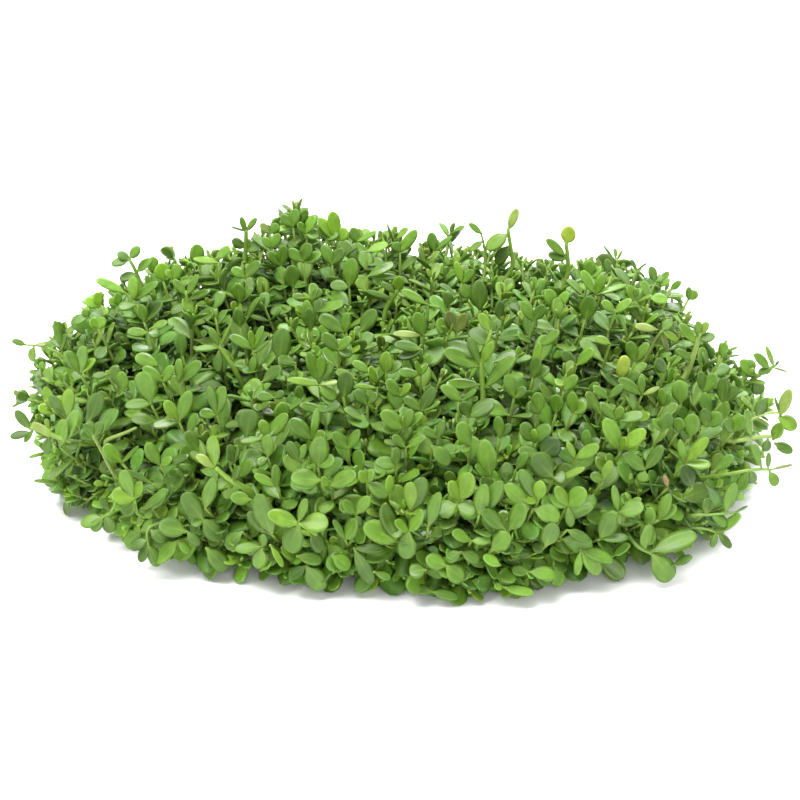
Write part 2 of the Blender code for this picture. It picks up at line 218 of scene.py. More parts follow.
def at_pixel(x, y, depth):
    """The place seen at a pixel of the photograph, on the upright plane Y = depth."""
    slope = VIEW_RIGHT * (x - PHOTO_WIDTH / 2) + VIEW_UP * (PHOTO_WIDTH / 2 - y)
    ray = VIEW_IN + slope / PIXELS_PER_SLOPE
    return CAMERA_PLACE + ray * (depth - CAMERA_PLACE[1]) / ray[1]


def pixel_of(place):
    """The pixel of the photograph at which a place is seen."""
    offset = np.array(place) - CAMERA_PLACE
    slope = offset / offset.dot(VIEW_IN) * PIXELS_PER_SLOPE
    return PHOTO_WIDTH / 2 + slope.dot(VIEW_RIGHT), PHOTO_WIDTH / 2 - slope.dot(VIEW_UP)


def seen_canopy():
    """Points all over the canopy, with their pixels and their distances from the camera."""
    shares = np.linspace(0.004, 0.995, 100)
    points = np.array([canopy_point(azimuth, share) for azimuth in range(0, 360, 2) for share in shares])
    offset = points - CAMERA_PLACE
    distance = offset @ VIEW_IN
    slope = offset / distance[:, None] * PIXELS_PER_SLOPE
    pixels = PHOTO_WIDTH / 2 + np.stack((slope @ VIEW_RIGHT, -slope @ VIEW_UP), 1)
    return points, pixels, distance


CANOPY_POINTS, CANOPY_PIXELS, CANOPY_DISTANCES = seen_canopy()
PIXEL_REACH = 9


def depth_at(x, y):
    """The Y of the canopy that is seen at a pixel, or of its edge nearest to the pixel."""
    off = np.hypot(CANOPY_PIXELS[:, 0] - x, CANOPY_PIXELS[:, 1] - y)
    near = np.flatnonzero(off < max(PIXEL_REACH, off.min() + 1))
    return CANOPY_POINTS[near[np.argmin(CANOPY_DISTANCES[near])], 1]


# Leaf templates: places of the rings along the leaf, and of the points round a ring
FINE_RINGS = np.array((0.0, 0.12, 0.27, 0.45, 0.63, 0.79, 0.9, 0.97))
MEDIUM_RINGS = np.array((0.0, 0.12, 0.28, 0.48, 0.68, 0.84, 0.94))
PLAIN_RINGS = np.array((0.0, 0.2, 0.5, 0.8, 0.94))
WIDE_ACROSS = np.array((-1, -0.55, 0, 0.55, 1, 0.55, 0, -0.55))
WIDE_SIDE = np.array((0, 1, 0.7, 1, 0, -1, -1.4, -1))
PLAIN_ACROSS = np.array((-1.0, 0.0, 1.0, 0.0))
PLAIN_SIDE = np.array((0.0, 0.8, 0.0, -1.2))
TEMPLATES = (
    (FINE_RINGS, WIDE_ACROSS, WIDE_SIDE),
    (MEDIUM_RINGS, WIDE_ACROSS, WIDE_SIDE),
    (PLAIN_RINGS, PLAIN_ACROSS, PLAIN_SIDE),
)
FINE, MEDIUM, PLAIN = 0, 1, 2

LEAF_THICKNESS = 0.30 * MM
PETIOLE_WIDTH = 0.16  # of the leaf's width
PETIOLE_END = 0.4  # of the leaf's length
BLADE_START = 0.09
LOWEST_POINT = 0.12 * MM
FLOOR_GAP = 0.02 * MM
LIFT_START = 0.1
UNDERSIDE_SHADE = 0.82
UNDERSIDE_PALE = np.array((0.050, 0.062, 0.036))
# Painted light: leaf margins get a lighter tint, for light through their thin edges.
MARGIN_PAINTED_LIGHT = 0.16
STEM_SIDES = 6
FIRST_SIDE = (0.31, 0.87, 0.38)  # of a stem's rings, which may be any that isn't along the stem
FIRST_LEAF_SIDE = (0.23, 0.61, 0.76)  # the same for its leaves


def blade_width(along, fullness):
    """Half width of the blade, as a share of its widest."""
    t = np.clip((along - BLADE_START) / (1 - BLADE_START), 0, 1)
    widest = fullness / (fullness + 0.5)
    peak = widest**fullness * (1 - widest) ** 0.5
    return np.maximum(t**fullness * (1 - t) ** 0.5 / peak, PETIOLE_WIDTH * (along < PETIOLE_END))


Leaf = namedtuple("Leaf", "base outward across above length width curl cup fullness blade stalk template")


def ring_numbers(size):
    """Numbers of a ring's points, and of the next points round it."""
    ring = np.arange(size)
    return ring, (ring + 1) % size


def tube_quads(rings, size):
    """Quads between rings of points that follow one another."""
    ring, after = ring_numbers(size)
    lows = range(0, (rings - 1) * size, size)
    return np.concatenate(
        [np.stack((low + ring, low + after, low + size + after, low + size + ring), 1) for low in lows]
    )


def cap(ring, after, end):
    """Triangles between a ring and the point that ends it."""
    return np.stack((ring, after, np.full(len(ring), end)), 1)


class Foliage:
    """Collects stems and leaves, and makes one mesh of closed surfaces of them."""

    def __init__(self):
        self.leaves = []
        self.parts = []  # points, quads, triangles, tints and blade coordinates of each
        self.count = 0

    def add(self, points, quads, tris, tints, blades):
        self.parts.append((points, quads + self.count, tris + self.count, tints, blades))
        self.count += len(points)

    def stem(self, path, radii, tints):
        """A round stem along a path, closed at both ends."""
        steps = len(path)
        along = np.gradient(path, axis=0)
        along /= np.linalg.norm(along, axis=1)[:, None]
        side = unit(np.cross(along[0], FIRST_SIDE))
        turn = 2 * np.pi * np.arange(STEM_SIDES)[:, None] / STEM_SIDES
        rings = []
        for k in range(steps):
            side = unit(side - along[k] * side.dot(along[k]))
            other = np.cross(along[k], side)
            rings.append(path[k] + radii[k] * (np.cos(turn) * side + np.sin(turn) * other))
        ends = np.array((path[0], path[-1] + along[-1] * radii[-1]))
        points = np.concatenate([*rings, ends])
        ring, after = ring_numbers(STEM_SIDES)
        end = steps * STEM_SIDES
        last = end - STEM_SIDES
        tris = np.concatenate((cap(after, ring, end), cap(last + ring, last + after, end + 1)))
        tints = np.concatenate([np.repeat(tints, STEM_SIDES, axis=0), tints[:1], tints[-1:]])
        self.add(points, tube_quads(steps, STEM_SIDES), tris, tints, np.tile((0.5, 0.0), (len(points), 1)))

    def to_object(self, name, material):
        """One mesh object of the stems and leaves, one leaf template after another."""
        for number, template in enumerate(TEMPLATES):
            leaves = [leaf for leaf in self.leaves if leaf.template == number]
            if leaves:
                self.add(*leaf_surfaces(leaves, *template))
        points, quads, tris, tints, blades = map(np.concatenate, zip(*self.parts))
        obj = mesh_object(name, points, quads, tris)
        mesh = obj.data
        colour = np.concatenate((np.clip(tints, 0, 1), np.ones((len(points), 1))), 1)
        tint = mesh.attributes.new("tint", "FLOAT_COLOR", "POINT")
        tint.data.foreach_set("color", colour.astype(np.float32).ravel())
        corner = np.concatenate((quads.ravel(), tris.ravel()))
        mesh.uv_layers.new(name="blade").uv.foreach_set("vector", blades[corner].astype(np.float32).ravel())
        mesh.materials.append(material)
        return obj


def mesh_object(name, points, quads, tris):
    """A smooth mesh object of quads and triangles."""
    mesh = bpy.data.meshes.new(name)
    mesh.vertices.add(len(points))
    mesh.vertices.foreach_set("co", points.astype(np.float32).ravel())
    corners = np.concatenate((quads.ravel(), tris.ravel())).astype(np.int32)
    tri_starts = quads.size + np.arange(len(tris)) * 3
    starts = np.concatenate((np.arange(len(quads)) * 4, tri_starts)).astype(np.int32)
    mesh.loops.add(len(corners))
    mesh.loops.foreach_set("vertex_index", corners)
    mesh.polygons.add(len(starts))
    mesh.polygons.foreach_set("loop_start", starts)
    mesh.update(calc_edges=True)
    mesh.validate()
    mesh.shade_smooth()
    obj = bpy.data.objects.new(name, mesh)
    bpy.context.scene.collection.objects.link(obj)
    return obj


def leaf_surfaces(leaves, rings, across, side):
    """Points, faces, colours and blade coordinates of leaves that share a template."""
    count = len(leaves)
    ring_size = len(across)

    def column(field):
        return np.array([getattr(leaf, field) for leaf in leaves], dtype=float)

    vectors = ("base", "outward", "across", "above")
    base, outward, crosswise, above = (column(field)[:, None, None, :] for field in vectors)
    measures = ("length", "width", "curl", "cup", "fullness")
    length, width, curl, cup, fullness = (column(field)[:, None, None, None] for field in measures)
    u = rings[None, :, None, None]
    v = across[None, None, :, None]
    s = side[None, None, :, None]
    half = blade_width(u, fullness) * width / 2
    thin = 0.35 + 0.65 * np.clip(half / (0.3 * width), 0, 1) * (1 - 0.55 * u)
    stalk_like = np.clip(1 - (u - 0.02) / 0.2, 0, 1)
    thickness = LEAF_THICKNESS * 0.5 * (thin + 0.25 * stalk_like)
    rise = -curl * length * u**2 + cup * half * (v**2) + s * thickness
    points = base + outward * (u * length) + crosswise * (v * half) + above * rise
    tip = base + outward * length + above * (-curl * length)
    points = np.concatenate((points.reshape(count, -1, 3), tip.reshape(count, 1, 3)), 1)
    along = np.append(np.repeat(rings, ring_size), 1.0)
    # A leaf that would dip into the floor is turned up about its base
    lift = (LOWEST_POINT - points[:, :, 2]) / np.maximum(along, LIFT_START)
    lift = np.max(np.where(along > LIFT_START, lift, 0), axis=1)
    points[:, :, 2] += np.maximum(lift, 0)[:, None] * along
    points[:, :, 2] = np.maximum(points[:, :, 2], FLOOR_GAP)

    steps = len(rings)
    ring, after = ring_numbers(ring_size)
    end = steps * ring_size
    last = end - ring_size
    foot = np.stack((np.zeros(ring_size - 2, int), ring[2:], ring[1:-1]), 1)
    tris = np.concatenate((cap(last + ring, last + after, end), foot))
    offsets = (np.arange(count) * (end + 1))[:, None, None]

    all_across = np.append(np.tile(across, steps), 0.0)
    all_side = np.append(np.tile(side, steps), 0.0)
    grown = np.clip((along - 0.04) / 0.3, 0, 1)[None, :, None]
    tint = column("stalk")[:, None, :] * (1 - grown) + column("blade")[:, None, :] * grown
    under = np.clip(-all_side, 0, 1)[None, :, None]
    pale = tint * UNDERSIDE_SHADE + UNDERSIDE_PALE
    tint = tint * (1 - under) + pale * under
    # Painted light: the tint is lightened towards the margins.
    margin = (np.abs(all_across) ** 4)[None, :, None] * grown
    tint = tint * (1 + MARGIN_PAINTED_LIGHT * margin)
    blades = np.stack((0.5 + 0.5 * all_across, along), 1)
    return (
        points.reshape(-1, 3),
        (tube_quads(steps, ring_size)[None] + offsets).reshape(-1, 4),
        (tris[None] + offsets).reshape(-1, 3),
        tint.reshape(-1, 3),
        np.tile(blades, (count, 1)),
    )


# Colours, linear: leaves by age from the tip of a shoot down, and stems from tip to foot
LIME = np.array((0.220, 0.345, 0.025))
FRESH = np.array((0.104, 0.220, 0.019))
GROWN = np.array((0.068, 0.162, 0.016))
OLD = np.array((0.038, 0.098, 0.014))
STEM_TIP = np.array((0.190, 0.290, 0.045))
STEM_FOOT = np.array((0.150, 0.190, 0.055))

# Leaf pairs of a shoot, counted from its tip: distance, leaf length, width share, steepness, colour
PAIRS = (
    (0.15 * MM, 1.35 * MM, 0.54, 62, LIME * 0.35 + FRESH * 0.65),
    (1.00 * MM, 2.40 * MM, 0.60, 42, LIME * 0.15 + FRESH * 0.85),
    (2.40 * MM, 3.15 * MM, 0.64, 26, FRESH),
    (4.10 * MM, 3.50 * MM, 0.68, 14, FRESH * 0.35 + GROWN * 0.65),
    (5.90 * MM, 3.50 * MM, 0.70, 6, GROWN * 0.6 + OLD * 0.4),
    (7.70 * MM, 3.30 * MM, 0.72, 0, OLD),
    (9.50 * MM, 3.10 * MM, 0.72, -4, OLD * 0.8),
)
TURN_SCATTER = 11  # of the leaves round their stem, in degrees
TILT_SCATTER = 13
TWIST_SCATTER = 17
YOUNG_PAIRS = 3
LENGTH_STEPS = 9  # for measuring a stem
STEM_STEPS = 7
STEM_BELOW_PAIRS = 1.2 * MM
TIP_RADIUS = 0.62  # of the stem's radius at its foot


def bezier(start, bend, end, share):
    share = np.asarray(share)[..., None]
    return (1 - share) ** 2 * start + 2 * share * (1 - share) * bend + share**2 * end


def bezier_along(start, bend, end, share):
    return unit((1 - share) * (bend - start) + share * (end - bend))


def grow(
    foliage, rng, path, pairs, *, stem, first_pair=0, size=1.0, spacing=1.0, tone_and_painted_light=1.0, lime=0.0,
    template=None,
):
    """One stem along a curve, with crossed leaf pairs counted from its tip down."""
    samples = bezier(*path, np.linspace(0, 1, LENGTH_STEPS))
    length = np.linalg.norm(np.diff(samples, axis=0), axis=1).sum()
    roll = rng.uniform(0, 180)
    reach = min(1.0, (PAIRS[min(pairs, len(PAIRS)) - 1][0] * spacing + STEM_BELOW_PAIRS) / length)
    shares = np.linspace(1 - reach, 1, STEM_STEPS)
    below = max(reach, 0.01)
    radii = stem * (TIP_RADIUS + (1 - TIP_RADIUS) * (1 - shares) / below)
    old = ((1 - shares) / below)[:, None]
    tints = (STEM_TIP * (1 - old) + STEM_FOOT * old) * (0.85 + 0.15 * tone_and_painted_light)
    foliage.stem(bezier(*path, shares), radii, tints)
    side = unit(np.cross(bezier_along(*path, 0.5), FIRST_LEAF_SIDE))
    for pair in range(first_pair, pairs):
        distance, leaf_length, width_share, steepness, colour = PAIRS[min(pair, len(PAIRS) - 1)]
        share = 1 - distance * spacing / length
        if share < 0.02:
            break
        place = bezier(*path, share)
        along = bezier_along(*path, share)
        first = unit(side - along * side.dot(along))
        second = np.cross(along, first)
        leaf_template = template if template is not None else MEDIUM if pair < YOUNG_PAIRS else PLAIN
        for half in range(2):
            turn = math.radians(roll + 90 * pair + 180 * half + rng.gauss(0, TURN_SCATTER))
            away = first * math.cos(turn) + second * math.sin(turn)
            tilt = math.radians(steepness + rng.gauss(0, TILT_SCATTER))
            outward = unit(away * math.cos(tilt) + along * math.sin(tilt))
            facing = along + UP * 0.45
            flat = unit(facing - outward * facing.dot(outward))
            level = np.cross(outward, flat)
            twist = math.radians(rng.gauss(0, TWIST_SCATTER))
            above = flat * math.cos(twist) + level * math.sin(twist)
            across = level * math.cos(twist) - flat * math.sin(twist)
            grown = leaf_length * size * rng.uniform(0.86, 1.12)
            young = max(0.0, 1 - pair / YOUNG_PAIRS)
            tint = colour * tone_and_painted_light * rng.uniform(0.78, 1.22)
            tint = tint * (1 - lime) + (LIME * 0.6 + FRESH * 0.4) * lime * rng.uniform(0.85, 1.1)
            tint = tint * np.array((rng.uniform(0.86, 1.16), 1.0, rng.uniform(0.8, 1.3)))
            width = grown * width_share * rng.uniform(0.88, 1.1)
            curl = rng.gauss(0.05, 0.07) - 0.10 * young
            cup = rng.uniform(0.05, 0.32) + 0.1 * young
            fullness = rng.uniform(0.50, 0.86)
            base, stalk = place + away * stem * 0.5, tint * 0.45 + STEM_TIP * 0.55
            shape = (grown, width, curl, cup, fullness)
            foliage.leaves.append(Leaf(base, outward, across, above, *shape, tint, stalk, leaf_template))


# Shoots and leaves that can be told apart in the photograph, given by its pixels
Stalk = namedtuple("Stalk", "points radius colour")
Blade = namedtuple("Blade", "x y tip_x tip_y width toward colour")
Portrait = namedtuple("Portrait", "name depth stems blades")

# Tints, linear. Bright, fresh, grown and old are one green at falling brightness, given to each leaf by how
# light it looks: its own colour together with painted light and shade.
COLOURS = {
    "pale": np.array((0.230, 0.310, 0.072)),
    "yellow": np.array((0.300, 0.385, 0.052)),
    "lime": np.array((0.136, 0.250, 0.020)),
    "bright": np.array((0.106, 0.212, 0.020)),
    "fresh": np.array((0.077, 0.160, 0.016)),
    "grown": np.array((0.059, 0.123, 0.012)),
    "old": np.array((0.027, 0.065, 0.007)),
    "olive": np.array((0.125, 0.165, 0.033)),
    "tan": np.array((0.260, 0.180, 0.085)),
}


def numbers_and_colour(text):
    """The numbers of an entry and the colour named after them."""
    *numbers, colour = text.split()
    return *map(float, numbers), colour


def read_portraits(text):
    """Portraits from rows: the name of the shoot and its depth in mm, then its stems and its leaves."""
    portraits = []
    for row in text.strip().splitlines():
        kind, entries = row.split(" ", 1)
        if kind == "stem":
            look, points = entries.split(":")
            pixels = [tuple(map(float, point.split())) for point in points.split(",")]
            portraits[-1].stems.append(Stalk(pixels, *numbers_and_colour(look)))
        elif kind == "leaf":
            portraits[-1].blades.extend(Blade(*numbers_and_colour(entry)) for entry in entries.split(","))
        else:
            portraits.append(Portrait(kind, float(entries.removeprefix("at ")) * MM, [], []))
    return portraits


def read_rosettes(text):
    """Rosettes from rows: the pixel of the stem's end, and its leaves."""
    rosettes = []
    for row in text.strip().splitlines():
        end, leaves = row.split(":")
        x, y = map(float, end.split())
        rosettes.append((x, y, [numbers_and_colour(leaf) for leaf in leaves.split(",")]))
    return rosettes


# Stem: radius, colour, pixels from its foot to its end. Leaf: pixels of its base and of its tip, width,
# how far the tip reaches to the front, colour. Lengths are in mm
PORTRAITS = read_portraits("""
shoot_tall_pale at -19.8
stem 0.27 lime: 484 404, 482 380, 480 362, 487 345, 491 330
leaf 484 389 512 356 1.6 0.4 bright, 481 385 446 383 1.25 0.5 bright, 480 367 443 351 1.95 0.3 fresh
leaf 480 365 469 339 1 0.6 fresh, 481 365 492 343 1.15 0.8 lime, 481 358 449 340 1.9 -1.6 grown
leaf 488 345 470 329 1.8 -1 grown, 491 332 480 314 1.25 0 lime, 491 331 500 320 1.2 -0.3 fresh
leaf 491 331 495 321 0.8 0.2 fresh
shoot_spoon_left at 17.7
stem 0.27 lime: 515 270, 511 250, 508 229
stem 0.16 lime: 487 262, 484 244, 481 233
leaf 508 231 517 209 1.25 0.2 pale, 508 234 486 249 1.9 0.6 lime, 509 246 496 264 1.6 0.5 grown
leaf 482 234 468 224 1 0.2 bright, 483 241 470 251 0.95 0.2 lime
shoot_spoon_right at 10.4
stem 0.29 lime: 569 280, 568 258, 566 242
leaf 566 244 571 226 1.8 0.2 yellow, 567 257 545 240 1.3 0.4 bright, 567 259 549 254 1.4 0.8 fresh
shoot_skyline_left at 17.3
stem 0.32 lime: 245 264, 246 240, 246 230
leaf 246 233 241 217 0.75 0.2 bright, 246 232 256 218 0.85 0.2 bright, 245 231 231 227 0.3 0.1 grown
leaf 246 248 232 240 1.3 0.6 grown, 246 250 261 246 1.5 0.4 fresh
shoot_pale_stem at -7.5
stem 0.34 pale: 685 380, 692 360, 697 343, 700 333
leaf 699 338 697 321 1.1 0.3 lime, 697 344 679 324 1.4 -0.3 bright, 698 340 715 336 1.25 0.4 fresh
leaf 699 336 708 322 1 -0.4 lime, 692 360 676 350 1.1 0.6 fresh
shoot_right_top at -2
stem 0.24 bright: 742 388, 757 376, 770 368, 775 366
leaf 770 369 754 354 1.25 0.2 bright, 774 367 767 347 0.6 0.2 lime, 775 366 779 361 0.35 0 grown
leaf 775 368 787 372 0.25 0 olive, 772 369 758 373 1 0.5 fresh, 757 377 740 361 1.7 0.2 bright
leaf 755 379 760 395 1.6 0.4 fresh
runner_right at -17
stem 0.24 pale: 728 444, 748 438, 768 436, 777 437
stem 0.18 pale: 740 424, 757 417, 770 412, 780 413
leaf 780 416 789 390 1.45 0.3 pale, 778 417 797 428 1.75 0.5 lime, 773 440 782 422 1.35 0.7 lime
leaf 774 443 793 452 1.25 0.4 fresh, 779 413 775 397 0.35 0 grown, 751 438 745 410 1.45 0.4 bright
leaf 757 417 764 400 1.4 -0.4 grown, 768 438 766 452 1.1 0.5 fresh
runner_right_low at -28
stem 0.18 bright: 730 474, 748 470, 764 469, 771 470
leaf 762 469 752 444 0.8 0.3 bright, 770 470 793 464 0.4 0 olive, 769 471 777 486 1.15 0.5 bright
leaf 768 469 769 453 0.6 0.1 fresh, 748 471 739 490 1.3 0.6 fresh, 750 470 754 484 1 -0.4 grown
runner_front_right at -30
stem 0.17 fresh: 690 515, 707 515, 722 514, 738 512
stem 0.15 fresh: 696 528, 708 529, 717 533
leaf 716 534 742 515 1.15 0.3 bright, 716 532 712 548 0.8 0.2 fresh, 718 533 732 548 0.95 0.2 grown
leaf 725 513 735 482 1.35 -0.3 bright, 735 512 748 506 0.3 0.1 grown, 712 515 727 526 1 0.5 fresh
leaf 706 515 708 498 1.3 -0.6 grown
shoot_big_leaf at -33
stem 0.22 fresh: 634 545, 644 550, 652 554
leaf 650 552 697 534 2.1 -0.6 bright, 652 554 673 581 2.5 0.4 bright, 672 566 692 556 0.95 0.2 fresh
leaf 645 548 647 524 1.8 0.8 bright
shoot_crown_peak at 19
stem 0.26 bright: 305 256, 302 240, 300 224
leaf 300 224 297 207 0.6 0.1 grown, 300 225 283 214 1.3 0.2 fresh, 300 224 308 210 1.1 0.1 fresh
leaf 301 227 318 216 1.3 0.2 bright, 300 228 283 231 1.5 0.5 fresh, 302 228 319 243 1.9 0.4 bright
leaf 301 232 296 214 1.2 -0.4 grown, 303 242 288 250 1.7 0.5 grown
shoot_back_left at 12
stem 0.24 bright: 146 300, 138 274, 129 259
leaf 129 260 111 264 1.2 0.2 bright, 129 259 139 247 1.2 0.1 bright, 130 261 118 252 1.2 -0.2 fresh
leaf 137 272 151 259 1.3 0.1 bright, 138 275 119 278 1.4 0.4 fresh
runner_left at -19.5
stem 0.3 lime: 78 444, 56 437, 40 430, 31 428
leaf 56 438 32 423 0.95 0.3 pale, 31 430 15 410 1.1 0.2 fresh, 32 432 10 437 0.95 0.3 grown
leaf 33 430 24 442 0.7 0.5 fresh, 50 436 46 455 1.1 0.4 grown, 64 443 78 446 1.2 0.4 fresh
runner_left_back at -1
stem 0.15 lime: 62 354, 48 348, 36 345, 25 345
leaf 34 346 31 362 1.15 0.2 lime, 26 345 12 340 0.8 0.1 fresh, 36 345 46 344 0.6 0.2 pale
leaf 62 350 55 321 0.95 0.1 bright, 60 352 66 334 0.9 0.1 fresh
runner_front_left at -31.5
stem 0.18 fresh: 150 524, 146 532, 148 545
leaf 147 540 130 548 1.3 0.4 grown, 148 545 160 566 1.5 0.3 fresh, 148 546 140 562 1.1 0.6 grown
leaf 150 530 166 540 1.6 0.6 grown
runner_low_left at -26
stem 0.2 bright: 116 508, 108 514, 100 519
leaf 103 518 80 523 1.6 0.4 bright, 104 517 92 531 1.2 0.8 fresh, 106 515 112 533 1.5 0.5 fresh
leaf 110 512 100 497 0.9 -0.3 grown
shoot_front_bright at -36
stem 0.25 lime: 322 538, 310 530, 299 523
leaf 299 524 267 514 1.85 0.5 lime, 301 523 328 523 2.2 0.6 lime, 298 523 306 499 1.05 0.2 bright
leaf 299 525 289 552 2.4 0.3 fresh, 310 531 324 551 1.8 0.2 grown
""")

# The same for shoots that aren't in the CAD source, and grow out of the mass
PORTRAITS += read_portraits("""
loose at -16
stem 0.25 bright: 630 398, 625 386, 622 378
leaf 622 380 622 355 1.9 0.5 yellow, 624 384 640 372 1.3 0.2 fresh
loose at -5.5
stem 0.22 olive: 648 358, 653 342, 662 331
leaf 658 330 635 326 1.05 0.3 pale, 662 331 678 341 1 0.3 lime, 661 333 668 352 0.8 0.2 olive
leaf 662 331 672 320 1.2 -0.4 bright
loose at -30
stem 0.22 bright: 136 516, 136 506, 134 498
leaf 135 499 111 495 2.05 0.7 lime, 135 499 142 482 1.3 0.3 lime, 133 498 122 470 1.55 -0.6 bright
leaf 136 502 122 514 1.7 0.3 fresh, 140 512 166 489 1.1 0.2 fresh
loose at -31
stem 0.34 lime: 246 488, 228 480, 216 468
leaf 215 468 212 437 1.6 0.3 lime, 214 468 198 455 1.1 0.5 pale, 218 472 204 505 1.3 0.5 bright
leaf 232 482 240 466 1 0.3 grown
loose at -24
stem 0.24 olive: 116 482, 105 456, 92 434
stem 0.22 olive: 98 442, 118 436, 136 428
leaf 94 437 84 424 1 0.2 fresh, 94 437 101 422 1.2 -0.4 grown
loose at -12
stem 0.28 lime: 234 368, 227 358, 219 346
leaf 219 350 218 372 1.1 0.5 fresh, 220 348 194 348 0.85 0.3 bright, 220 347 231 324 0.45 0.3 lime
leaf 219 346 210 328 0.9 0.2 bright
loose at 2
stem 0.28 lime: 191 322, 188 305, 186 292
leaf 187 296 174 280 1 0.2 bright, 187 295 198 275 1.1 0.1 bright, 188 300 210 290 1 0.4 fresh
leaf 189 305 170 312 1.3 0.6 fresh
loose at 4
stem 0.3 lime: 383 312, 391 300, 398 290
leaf 397 292 400 276 1.4 0.3 lime, 396 293 381 283 1 0.5 fresh, 392 299 366 291 0.8 0.4 fresh
leaf 397 292 408 296 1.1 0.5 bright
""")

